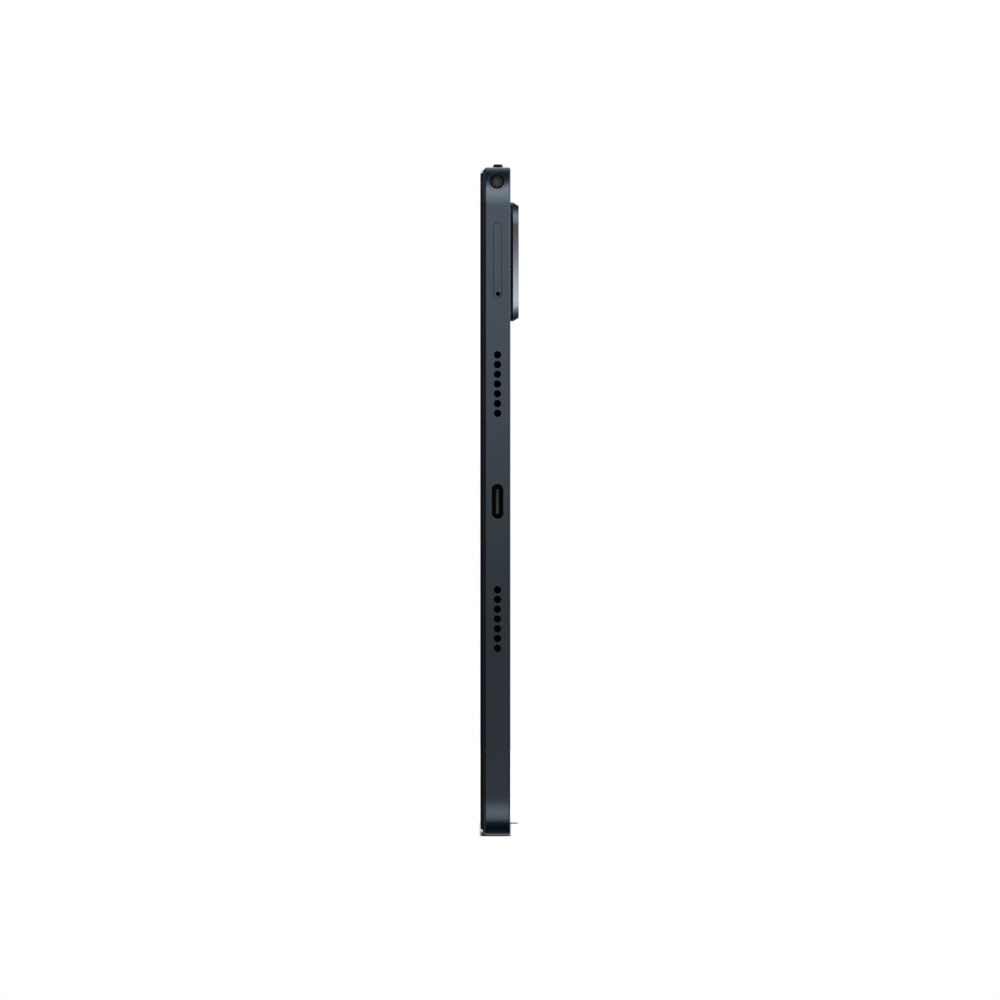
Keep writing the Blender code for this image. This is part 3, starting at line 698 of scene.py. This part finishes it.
def add_top_openings(builder, depth):
    """Adds the cutters of the two button slots and the microphone hole."""
    slot_width = BUTTON_WIDTH + 2 * BUTTON_GAP
    for node, end_gap in (("power_button", 0.1 * MM), ("volume_rocker", 0.15 * MM)):
        centre = (rear_centre(node)[0], BUTTON_Y)
        size = (cap_length(node) + 2 * end_gap, slot_width)
        add_opening(builder, "Z", 1, HEIGHT, centre, size, slot_width / 2, 0.08 * MM, depth, 12)
    add_hole(builder, "Z", 1, HEIGHT, (MIC_X, PORT_Y), 0.5 * MM, 0.06 * MM, depth)


def housing_openings():
    """One cutter for every opening in the housing's walls."""
    builder = bmesh.new()
    add_port_openings(builder, 2 * SIDE_WALL)
    add_top_openings(builder, 2 * SIDE_WALL)
    for node, radius in (("camera_window", 4.6 * MM), ("flash_led", 1.5 * MM)):
        add_loft(builder, [round_ring("Y", rear_centre(node), y, radius, 8) for y in (0.0, 4 * MM)])
    return to_object("openings", builder)


def housing_cavity():
    """The space inside the pan, with a seat for the bezel ring and a boss behind the headphone hole."""
    rings = [
        body_ring(LIP_Y - 1 * MM, SEAT_INSET, 16),
        body_ring(LEDGE_Y, SEAT_INSET, 16),
        body_ring(LEDGE_Y, SIDE_WALL, 16),
        body_ring(BACK - BACK_WALL, SIDE_WALL, 16),
    ]
    cavity = loft("cavity", rings)
    size = (9.8 * MM, 7.6 * MM)
    centre = (END_X - 8.8 * MM + size[0] / 2, HEIGHT - 6.6 * MM + size[1] / 2)
    boss = [rounded_ring("Y", centre, y, size, 0.0, 0) for y in (-2.8 * MM, BACK)]
    boolean(cavity, loft("boss", boss))
    return cavity


def housing_shell(material):
    """The metal pan: chamfered lip, flat satin sides, rounded rear edge and every opening."""
    rings = [
        body_ring(LIP_Y, LIP_INSET),
        body_ring(LIP_Y + 0.34 * MM, 0.075 * MM),
        body_ring(LIP_Y + 0.41 * MM, 0.022 * MM),
        body_ring(SIDE_Y + 0.06 * MM, 0.0),
    ]
    for below, inset in quarter_round(EDGE_RADIUS, 8):
        rings.append(body_ring(BACK - below, inset))
    shell = loft("housing_shell", rings, material)
    boolean(shell, housing_cavity())
    boolean(shell, housing_openings())
    flat_normals(shell)
    return declare(shell, "tablet", "anodised_aluminium", "rear_housing")


# ---------------------------------------------------------------- front


def front_glass(material):
    """The cover glass, with a slanted edge and a softly rounded front rim."""
    slope = (GLASS_FACE_INSET - GLASS_REAR_INSET) / (GLASS_HIGH[1] - FRONT)
    rings = [
        body_ring(FRONT, GLASS_FACE_INSET + 0.10 * MM),
        body_ring(FRONT + 0.02 * MM, GLASS_FACE_INSET + 0.03 * MM),
        body_ring(FRONT + 0.06 * MM, GLASS_FACE_INSET - 0.06 * MM * slope),
        body_ring(GLASS_HIGH[1] - 0.03 * MM, GLASS_REAR_INSET + 0.01 * MM),
        body_ring(GLASS_HIGH[1], GLASS_REAR_INSET + 0.03 * MM),
    ]
    glass = loft("front_glass", rings, material)
    flat_normals(glass)
    return declare(glass, "tablet", "black_glass", "cover_glass")


def bezel_ring(material):
    """The plastic frame between the glass and the metal lip."""
    top, bottom = GLASS_HIGH[1] + 0.01 * MM, LEDGE_Y - 0.05 * MM
    inner_inset = 3.2 * MM
    outer = [
        body_ring(top, GLASS_REAR_INSET + 0.02 * MM),
        body_ring(top + 0.05 * MM, GLASS_REAR_INSET - 0.04 * MM),
        body_ring(LIP_Y + 0.02 * MM, SEAT_INSET + 0.02 * MM),
        body_ring(bottom, SEAT_INSET + 0.02 * MM),
    ]
    inner = [body_ring(y, inner_inset) for y in (bottom, LIP_Y, top + 0.05 * MM, top)]
    builder = bmesh.new()
    add_tube(builder, outer + inner)
    piece = to_object("bezel_frame", builder, material)
    return declare(piece, "tablet", "bezel_plastic", "front_bezel_ring")


# ---------------------------------------------------------------- port edge


def tray_front(material):
    """The tray's face, flush with the wall, with a softened edge."""
    size = (TRAY_SLOT[0] - 2 * TRAY_GAP, TRAY_SLOT[1] - 2 * TRAY_GAP)
    rings = [rounded_ring("X", TRAY_CENTRE, END_X - 1.55 * MM, size, size[0] / 2, 12)]
    for below, inset in quarter_round(0.05 * MM, 3):
        rings.append(rounded_ring("X", TRAY_CENTRE, END_X - below, size, size[0] / 2, 12, -inset))
    return loft("tray_with_face", rings, material)


def card_tray(material):
    """The tray: its face, and the carrier behind it with two card places."""
    tray = tray_front(material)
    inner_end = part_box("card_tray")[0][0]
    y, z = TRAY_CENTRE
    bottom, top = z - 7.2 * MM, z + 8.9 * MM
    middle = (bottom + top) / 2
    size = (1.3 * MM, top - bottom)
    carrier = [rounded_ring("X", (y, middle), x, size, 0.15 * MM, 3) for x in (inner_end, END_X - 1.2 * MM)]
    boolean(tray, loft("carrier", carrier), "UNION")
    builder = bmesh.new()
    memory = ((inner_end + 6.8 * MM, middle), (11.2 * MM, 15.1 * MM), (y - 2 * MM, y + 0.25 * MM))
    sim = ((inner_end + 17.85 * MM, middle), (8.9 * MM, 12.4 * MM), (y - 2 * MM, y + 2 * MM))
    for centre, place, ends in (memory, sim):
        add_loft(builder, [rounded_ring("Y", centre, end, place, 0.8 * MM, 5) for end in ends])
    add_hole(builder, "X", 1, END_X, EJECT_CENTRE, EJECT_RADIUS, 0.10 * MM, 3 * MM)
    boolean(tray, to_object("places", builder))
    flat_normals(tray)
    return declare(tray, "card_tray", "anodised_aluminium", "card_tray")


def usb_can(material):
    """The drawn shell of the connector, with a flared mouth."""
    low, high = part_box("usb_shell")
    outer_size, inner_size = (3.4 * MM, 9.5 * MM), (2.6 * MM, 8.6 * MM)
    lip = 0.12 * MM
    outer = [(low[0], 0.0), (high[0] - lip, 0.0), (high[0], -lip)]
    inner = [(low[0] + 0.6 * MM, 0.0), (high[0] - lip, 0.0), (high[0] + lip, 2 * lip)]
    shell = loft("usb_can", [rounded_ring("X", USB_CENTRE, x, outer_size, 1.7 * MM, 12, grow)
                             for x, grow in outer], material)
    boolean(shell, loft("hollow", [rounded_ring("X", USB_CENTRE, x, inner_size, 1.3 * MM, 12, grow)
                                   for x, grow in inner]))
    return declare(shell, "tablet", "steel", "usb_shell")


def usb_blade(material):
    """The tongue inside the connector."""
    low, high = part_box("usb_tongue")
    size = (high[1] - low[1], high[2] - low[2])
    levels = [(low[0], 0.0), (high[0] - 0.15 * MM, 0.0), (high[0], -0.08 * MM)]
    rings = [rounded_ring("X", USB_CENTRE, x, size, 0.12 * MM, 4, grow) for x, grow in levels]
    return declare(loft("usb_blade", rings, material), "tablet", "tongue_plastic", "usb_tongue")


def usb_contacts(material):
    """The rows of contacts on both faces of the tongue."""
    low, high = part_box("usb_tongue")
    half_thickness = (high[1] - low[1]) / 2
    ends = (high[0] - 3.6 * MM, high[0] - 0.7 * MM)
    builder = bmesh.new()
    pads, pitch = 12, 0.5 * MM
    for side in (1, -1):
        y = PORT_Y + side * (half_thickness - 0.02 * MM)
        for number in range(pads):
            z = MID_Z + (number - (pads - 1) / 2) * pitch
            add_loft(builder, [rounded_ring("X", (y, z), x, (0.05 * MM, 0.28 * MM), 0.0, 0) for x in ends])
    return declare(to_object("usb_contacts", builder, material), "tablet", "steel")


def jack_block(material):
    """The headphone socket's moulded block, with its bore."""
    low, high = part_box("headphone_jack")
    size = (high[1] - low[1], high[2] - low[2])
    rings = [rounded_ring("X", JACK_CENTRE, x, size, 0.3 * MM, 4) for x in (low[0], high[0])]
    block = loft("jack_block", rings, material)
    ends = (low[0] + 1 * MM, high[0] + 1 * MM)
    bore = [round_ring("X", JACK_CENTRE, x, JACK_BORE_RADIUS, 12) for x in ends]
    boolean(block, loft("bore", bore))
    return declare(block, "tablet", "black_plastic", "headphone_jack")


def jack_collar(material):
    """The dark collar at the mouth of the headphone socket."""
    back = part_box("headphone_jack")[1][0] + 0.02 * MM
    mouth = corner_surface_x(JACK_Z) - 1.9 * MM
    outer_radius = JACK_RADIUS - 0.02 * MM
    section = [
        (back, outer_radius),
        (mouth - 0.1 * MM, outer_radius),
        (mouth, outer_radius),
        (mouth, JACK_BORE_RADIUS + 0.06 * MM),
        (mouth - 0.15 * MM, JACK_BORE_RADIUS),
        (back, JACK_BORE_RADIUS),
    ]
    builder = bmesh.new()
    add_tube(builder, [round_ring("X", JACK_CENTRE, x, radius, 16) for x, radius in section])
    return declare(to_object("jack_collar", builder, material), "tablet", "black_plastic")


def jack_stop(material):
    """The grey domed stop that closes the bore."""
    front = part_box("headphone_jack")[1][0]
    radius = JACK_BORE_RADIUS - 0.04 * MM
    rings = [round_ring("X", JACK_CENTRE, front + 0.2 * MM, radius, 16)]
    for rise, dome_radius in dome_profile(radius, 1.1 * MM, 12):
        rings.append(round_ring("X", JACK_CENTRE, front + 1.2 * MM + rise, dome_radius, 16))
    return declare(loft("jack_stop", rings, material), "tablet", "black_plastic")


# ---------------------------------------------------------------- buttons


def edge_button(name, node, material):
    """A cap with a rounded crown that stands out of the top wall, and its wider flange inside."""
    low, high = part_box(node)
    centre = (rear_centre(node)[0], BUTTON_Y)
    length = cap_length(node)
    size = (length, BUTTON_WIDTH)
    rings = [rounded_ring("Z", centre, low[2] + 0.3 * MM, size, BUTTON_WIDTH / 2, 16)]
    for below, inset in quarter_round(0.48 * MM, 6):
        rings.append(rounded_ring("Z", centre, high[2] - below, size, BUTTON_WIDTH / 2, 16, -inset))
    cap = loft(name, rings, material)
    flange_size = (length + 2 * FLANGE_REACH, BUTTON_WIDTH + 0.8 * MM)
    flange_top = low[2] + 0.55 * MM
    flange = [rounded_ring("Z", centre, z, flange_size, flange_size[1] / 2, 16) for z in (low[2], flange_top)]
    boolean(cap, loft("flange", flange), "UNION")
    flat_normals(cap)
    return declare(cap, node, "anodised_aluminium", node)


# ---------------------------------------------------------------- camera island


def island_bores():
    """The cutter of the two stepped bores, for the camera and for the flash."""
    builder = bmesh.new()
    for node, radius, seat, seat_radius in (
        ("camera_window", 4.7 * MM, BACK + 0.6 * MM, 6.1 * MM),
        ("flash_lens", 1.6 * MM, BACK + 1.2 * MM, 2.7 * MM),
    ):
        profile = [(0.0, radius), (seat, radius), (seat, seat_radius), (2 * ISLAND_FACE, seat_radius)]
        add_loft(builder, [round_ring("Y", rear_centre(node), y, r, 16) for y, r in profile])
    return to_object("bores", builder)


def island_shell(wall_material, face_material):
    """The raised bezel: an upright flange, a slanted polished wall and a gloss face."""
    size = ISLAND_HIGH[0] - ISLAND_LOW[0]
    flange_top = BACK + 0.75 * MM
    top_inset = 0.85 * MM
    levels = [
        (BACK + 0.005 * MM, 0.0),
        (flange_top - 0.04 * MM, 0.0),
        (flange_top + 0.02 * MM, -0.02 * MM),
        (ISLAND_FACE - 0.05 * MM, -top_inset + 0.03 * MM),
        (ISLAND_FACE, -top_inset - 0.03 * MM),
        (ISLAND_FACE, -top_inset - 0.35 * MM),
        (ISLAND_FACE - 0.06 * MM, -top_inset - 0.41 * MM),
    ]
    centre = rear_centre("camera_island")
    rings = [rounded_ring("Y", centre, y, (size, size), 6.3 * MM, 24, grow) for y, grow in levels]
    shell = loft("island_wall", rings, wall_material)
    shell.data.materials.append(face_material)
    for polygon in shell.data.polygons:
        flat = abs(polygon.normal[1]) > 0.999 and polygon.center[1] > ISLAND_FACE - 0.1 * MM
        if flat and polygon.area > 1e-4:
            polygon.material_index = 1
    boolean(shell, island_bores())
    flat_normals(shell)
    return declare(shell, "tablet", "island_metal", "camera_island")


def turned(name, profile, material):
    """A closed turned part about the camera's axis, from (y, radius) points round its section."""
    place = rear_centre("camera_window")
    builder = bmesh.new()
    add_tube(builder, [round_ring("Y", place, y, radius, 20) for y, radius in profile])
    return to_object(name, builder, material)


def lens_ring(material):
    """The dark ring round the camera, with a slanted inner face down to the window."""
    face = ISLAND_FACE - 0.05 * MM
    seat = BACK + 0.7 * MM
    profile = [(seat, 6.0 * MM), (face - 0.15 * MM, 6.0 * MM), (face, 5.85 * MM), (face, 4.95 * MM),
               (face - 0.25 * MM, 4.55 * MM), (face - 0.30 * MM, 4.40 * MM), (face - 0.9 * MM, 4.40 * MM),
               (seat, 4.45 * MM)]
    declare(turned("lens_ring", profile, material), "tablet", "lens_metal", "camera_lens_ring")


def rear_disc(name, node, radius, edge, material, slot):
    """A round window in the rear, with a softened outer rim."""
    low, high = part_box(node)
    levels = [(low[1], radius), (high[1] - edge, radius), (high[1], radius - edge)]
    rings = [round_ring("Y", rear_centre(node), y, r, 20) for y, r in levels]
    declare(loft(name, rings, material), "tablet", slot, node)


def lens_baffle(material):
    """The stepped black baffle below the window."""
    top = LENS_TOP
    profile = [(top - 0.5 * MM, 4.3 * MM), (top, 4.3 * MM), (top, 3.9 * MM), (top - 0.08 * MM, 3.4 * MM),
               (top - 0.08 * MM, 3.0 * MM), (top - 0.2 * MM, 2.5 * MM), (top - 0.5 * MM, 2.4 * MM)]
    declare(turned("lens_baffle", profile, material), "tablet", "black_plastic")


def lens_element(material):
    """The domed lens in the middle of the baffle."""
    place = rear_centre("camera_window")
    radius = 2.38 * MM
    rings = [round_ring("Y", place, LENS_TOP - 0.5 * MM, radius, 16)]
    for rise, dome_radius in dome_profile(radius, 0.35 * MM, 7):
        rings.append(round_ring("Y", place, LENS_TOP - 0.45 * MM + rise, dome_radius, 16))
    declare(loft("lens_element", rings, material), "tablet", "lens_glass")


# ---------------------------------------------------------------- inner parts


def dress_inner_parts(finishes, eject_finish):
    """Gives each CAD node that stays as it is its slot's finish, and blackens the eject rod."""
    slots = {row["node"]: row["material_slot"] for row in frame["record"]["subparts"]}
    for name, piece in frame["nodes"].items():
        finish = eject_finish if name == "eject_rod" else finishes.get(slots[name])
        if finish and piece.type == "MESH":
            piece.data.materials.clear()
            piece.data.materials.append(finish)


# ---------------------------------------------------------------- stage


NAVY = (0.62, 1.0, 1.38)
COOL = (0.86, 1.0, 1.12)
WHITE = (1.0, 1.0, 1.0)

# Brightness by degrees above the +X horizon, in the upright plane along the tablet.
UPRIGHT = [
    (-180, 1.00, WHITE),
    (-163, 0.50, WHITE),
    (-150, 0.12, COOL),
    (-140, 0.035, COOL),
    (-126, 0.020, NAVY),
    (-112, 0.012, NAVY),
    (-97, 0.018, NAVY),
    (-84, 0.055, NAVY),
    (-20, 0.030, NAVY),
    (60, 0.030, NAVY),
    (86, 0.065, COOL),
    (100, 0.050, NAVY),
    (112, 0.030, NAVY),
    (126, 0.07, COOL),
    (142, 0.25, COOL),
    (155, 0.46, WHITE),
    (170, 0.80, WHITE),
    (180, 1.00, WHITE),
]

# Brightness by how far a direction leans to the screen's side (-1) or to the rear (1).
SIDES = [
    (-1.0, 0.030, NAVY),
    (-0.5, 0.030, NAVY),
    (-0.2, 0.040, NAVY),
    (0.3, 0.020, NAVY),
    (0.6, 0.04, COOL),
    (0.75, 0.16, COOL),
    (1.0, 0.36, WHITE),
]

# The same for directions well above or below the horizon.
FILL = [
    (-1.0, 0.11, COOL),
    (-0.6, 0.08, COOL),
    (-0.3, 0.03, NAVY),
    (0.3, 0.03, NAVY),
    (0.45, 0.05, COOL),
    (0.6, 0.15, COOL),
    (0.75, 0.55, WHITE),
    (1.0, 0.80, WHITE),
]

# Brightness by height in mm of the long softbox that stands before the port edge.
PORT_GLOW = [
    (-520, 0.12),
    (-320, 0.32),
    (-215, 0.46),
    (-85, 0.43),
    (-58, 0.33),
    (-20, 0.16),
    (20, 0.096),
    (62, 0.100),
    (90, 0.170),
    (120, 0.232),
    (145, 0.262),
    (165, 0.275),
    (190, 0.42),
    (225, 0.65),
    (270, 0.75),
    (345, 0.92),
    (400, 0.80),
    (460, 0.44),
    (620, 0.12),
]

# The same for the softbox that lights the long edge between the side and the rear.
REAR_GLOW = [
    (-300, 0.04),
    (50, 0.10),
    (110, 0.45),
    (160, 1.00),
    (420, 0.90),
]

# The same for the softbox beside the camera island.
ISLAND_GLOW = [
    (-95, 0.10),
    (0, 0.55),
    (58, 0.85),
    (134, 1.00),
    (139, 0.79),
    (144, 0.46),
    (149, 0.21),
    (153, 0.15),
    (170, 0.18),
    (191, 0.30),
    (240, 0.42),
    (288, 0.46),
    (330, 0.34),
    (382, 0.12),
]


def light_only(lamp, pieces):
    """Makes a light reach these pieces and nothing else."""
    group = bpy.data.collections.new(lamp.name + "_receivers")
    for piece in pieces:
        group.objects.link(piece)
    lamp.light_linking.receiver_collection = group


def rectangle(name, corners, material):
    """One flat face through four corners."""
    builder = bmesh.new()
    builder.faces.new([builder.verts.new(corner) for corner in corners])
    return to_object(name, builder, material)


def glow_material(name, stops, strength):
    """A light whose brightness changes with height, from (height in mm, level) rows."""
    made = bpy.data.materials.new(name)
    made.use_nodes = True
    made.node_tree.nodes.clear()
    low, high = stops[0][0] * MM, stops[-1][0] * MM
    split = add_node(made, "ShaderNodeSeparateXYZ")
    link(made, object_coordinates(made), split.inputs["Vector"])
    rows = [((z * MM - low) / (high - low), level, WHITE) for z, level in stops]
    colour = ramp(made, map_range(made, split.outputs["Z"], (low, high)), rows)
    glow = add_node(made, "ShaderNodeEmission", Strength=strength)
    link(made, colour, glow.inputs["Color"])
    link(made, glow.outputs["Emission"], add_node(made, "ShaderNodeOutputMaterial").inputs["Surface"])
    return made


def glow_card(name, centre, facing, stops, pieces, half_width, strength):
    """An upright softbox, as tall as its rows of brightness, that lights these pieces alone."""
    across = Vector((facing.y, -facing.x, 0.0)).normalized() * half_width
    low, high = stops[0][0] * MM, stops[-1][0] * MM
    left, right = centre - across, centre + across
    corners = [(spot.x, spot.y, z) for spot, z in ((left, low), (right, low), (right, high), (left, high))]
    card = rectangle(name, corners, glow_material(name, stops, strength))
    card.visible_camera = False
    card.visible_shadow = False
    card.visible_transmission = False
    light_only(card, pieces)


def floor_light(name, energy, spread, plane):
    """A light from straight above for the floor alone, as wide as the spread in degrees."""
    data = bpy.data.lights.new(name, "SUN")
    data.energy = energy
    data.angle = math.radians(spread)
    light = bpy.data.objects.new(name, data)
    bpy.context.scene.collection.objects.link(light)
    light_only(light, [plane])


def floor():
    """A pale floor that the metal doesn't mirror, with its own lights."""
    reach = 1.6
    z = cad_low[2] - 0.2 * MM
    corners = [(-reach, -reach, z), (reach, -reach, z), (reach, reach, z), (-reach, reach, z)]
    plane = rectangle("floor", corners, stage_white())
    plane.visible_glossy = False
    plane.visible_diffuse = False
    plane.visible_transmission = False
    floor_light("floor_direct_light", energy=2.95, spread=0.5, plane=plane)
    floor_light("floor_soft_light", energy=1.2, spread=60, plane=plane)


def world():
    """A white backdrop for the camera, and a dim studio with soft bright sides for reflections."""
    made = bpy.data.worlds.new("studio")
    bpy.context.scene.world = made
    made.use_nodes = True
    made.node_tree.nodes.clear()
    split = add_node(made, "ShaderNodeSeparateXYZ")
    link(made, add_node(made, "ShaderNodeTexCoord").outputs["Generated"], split.inputs["Vector"])
    turn = calculate(made, "ARCTAN2", split.outputs["Z"], split.outputs["X"])
    rows = [((degrees + 180) / 360, level, hue) for degrees, level, hue in UPRIGHT]
    upright = ramp(made, map_range(made, turn, (-math.pi, math.pi)), rows)
    across = map_range(made, split.outputs["Y"], (-1.0, 1.0))
    sides = ramp(made, across, [((y + 1) / 2, level, hue) for y, level, hue in SIDES])
    fill = ramp(made, across, [((y + 1) / 2, level, hue) for y, level, hue in FILL])
    height = calculate(made, "ABSOLUTE", split.outputs["Z"])
    lean = calculate(made, "ABSOLUTE", split.outputs["Y"])
    lifted = mix_colour(made, map_range(made, height, (0.08, 0.30), curve="SMOOTHSTEP"), sides, fill)
    colour = mix_colour(made, map_range(made, lean, (0.15, 0.35), curve="SMOOTHSTEP"), upright, lifted)
    studio = add_node(made, "ShaderNodeBackground")
    link(made, colour, studio.inputs["Color"])
    backdrop = add_node(made, "ShaderNodeBackground", Color=(*WHITE, 1.0))
    choose = add_node(made, "ShaderNodeMixShader")
    link(made, add_node(made, "ShaderNodeLightPath").outputs["Is Camera Ray"], choose.inputs["Fac"])
    link(made, studio.outputs["Background"], choose.inputs[1])
    link(made, backdrop.outputs["Background"], choose.inputs[2])
    link(made, choose.outputs["Shader"], add_node(made, "ShaderNodeOutputWorld").inputs["Surface"])


def camera():
    """A long lens at the level of the top edge, so that what stands out of that edge shows."""
    data = bpy.data.cameras.new("camera")
    data.lens = LENS_LENGTH
    data.sensor_width = SENSOR_WIDTH
    view = bpy.data.objects.new("camera", data)
    bpy.context.scene.collection.objects.link(view)
    distance = FRAME_WIDTH * LENS_LENGTH / SENSOR_WIDTH
    target = Vector((END_X, AIM_Y, (cad_low[2] + cad_high[2]) / 2))
    raise_angle = math.asin((cad_high[2] - target.z) / distance)
    back = Vector((math.cos(raise_angle), 0.0, math.sin(raise_angle)))
    view.location = target + distance * back
    view.rotation_mode = "QUATERNION"
    view.rotation_quaternion = (-back).to_track_quat("-Z", "Y")
    data.clip_start, data.clip_end = 0.1, 60.0
    bpy.context.scene.camera = view


def lights(port_pieces, metal_pieces, island_pieces, glass_pieces):
    """The softboxes close to the tablet, each kept to the pieces that it is meant for."""
    before = Vector((END_X + 100 * MM, 0.0, 0.0))
    inwards = Vector((-1.0, 0.0, 0.0))
    glow_card("port_softbox", before, inwards, PORT_GLOW, port_pieces, half_width=28 * MM, strength=1.35)
    beside = Vector((END_X + 70 * MM, 110 * MM, 0.0))
    facing = Vector((-0.54, -0.84, 0.0))
    glow_card("rear_softbox", beside, facing, REAR_GLOW, metal_pieces, half_width=50 * MM, strength=0.8)
    away = Vector((0.517, 0.855, 0.0)).normalized()
    near_wall = Vector((ISLAND_HIGH[0], ISLAND_FACE - 1 * MM, 0.0)) + 120 * MM * away
    glow_card("island_softbox", near_wall, -away, ISLAND_GLOW, island_pieces, half_width=50 * MM,
              strength=1.5)
    behind = Vector((-900 * MM, -310 * MM, 0.0))
    even = [(-900, 1.0), (900, 1.0)]
    glow_card("rim_softbox", behind, -behind.normalized(), even, glass_pieces, half_width=110 * MM,
              strength=2.0)


def colour_management():
    settings = bpy.context.scene.view_settings
    settings.view_transform = "Standard"
    settings.look = "None"


# ---------------------------------------------------------------- build


def build():
    camera()
    metal = anodised_aluminium()
    black = plastic("black_plastic", (0.012, 0.012, 0.013), 0.5)
    steel = sheet_steel("sheet_steel", (0.46, 0.46, 0.45), 0.32)
    dark_steel = sheet_steel("dark_steel", (0.030, 0.031, 0.033), 0.35)
    flash = flash_diffuser()
    housing = housing_shell(metal)
    glass = front_glass(black_glass())
    ring_piece = bezel_ring(bezel_plastic())
    tray = card_tray(metal)
    sockets = [
        usb_can(dark_steel),
        usb_blade(plastic("tongue_plastic", (0.46, 0.46, 0.46), 0.5)),
        usb_contacts(sheet_steel("contact_gold", (0.55, 0.40, 0.18), 0.25)),
        jack_block(black),
        jack_collar(black),
        jack_stop(plastic("socket_grey", (0.62, 0.62, 0.62), 0.6)),
    ]
    edge_button("power_key", "power_button", metal)
    edge_button("volume_key", "volume_rocker", metal)
    island = island_shell(island_metal(), island_face_glass())
    lens_ring(lens_metal())
    rear_disc("lens_window", "camera_window", 4.35 * MM, 0.05 * MM, lens_glass(), "lens_glass")
    lens_baffle(black)
    lens_element(coated_lens())
    rear_disc("flash_cover", "flash_lens", 2.6 * MM, 0.06 * MM, flash, "flash_diffuser")
    dress_inner_parts({
        "steel": steel,
        "black_plastic": black,
        "circuit_board": circuit_board(),
        "flex_film": flex_film(),
        "battery_pouch": battery_pouch(),
        "gauze": gauze(),
        "display_film": display_film(),
        "light_guide": light_guide(),
        "adhesive": adhesive(),
        "flash_diffuser": flash,
    }, dark_steel)
    floor()
    world()
    lights([housing, tray, ring_piece, glass] + sockets, [housing, tray], [island, housing], [glass])
    colour_management()


build()
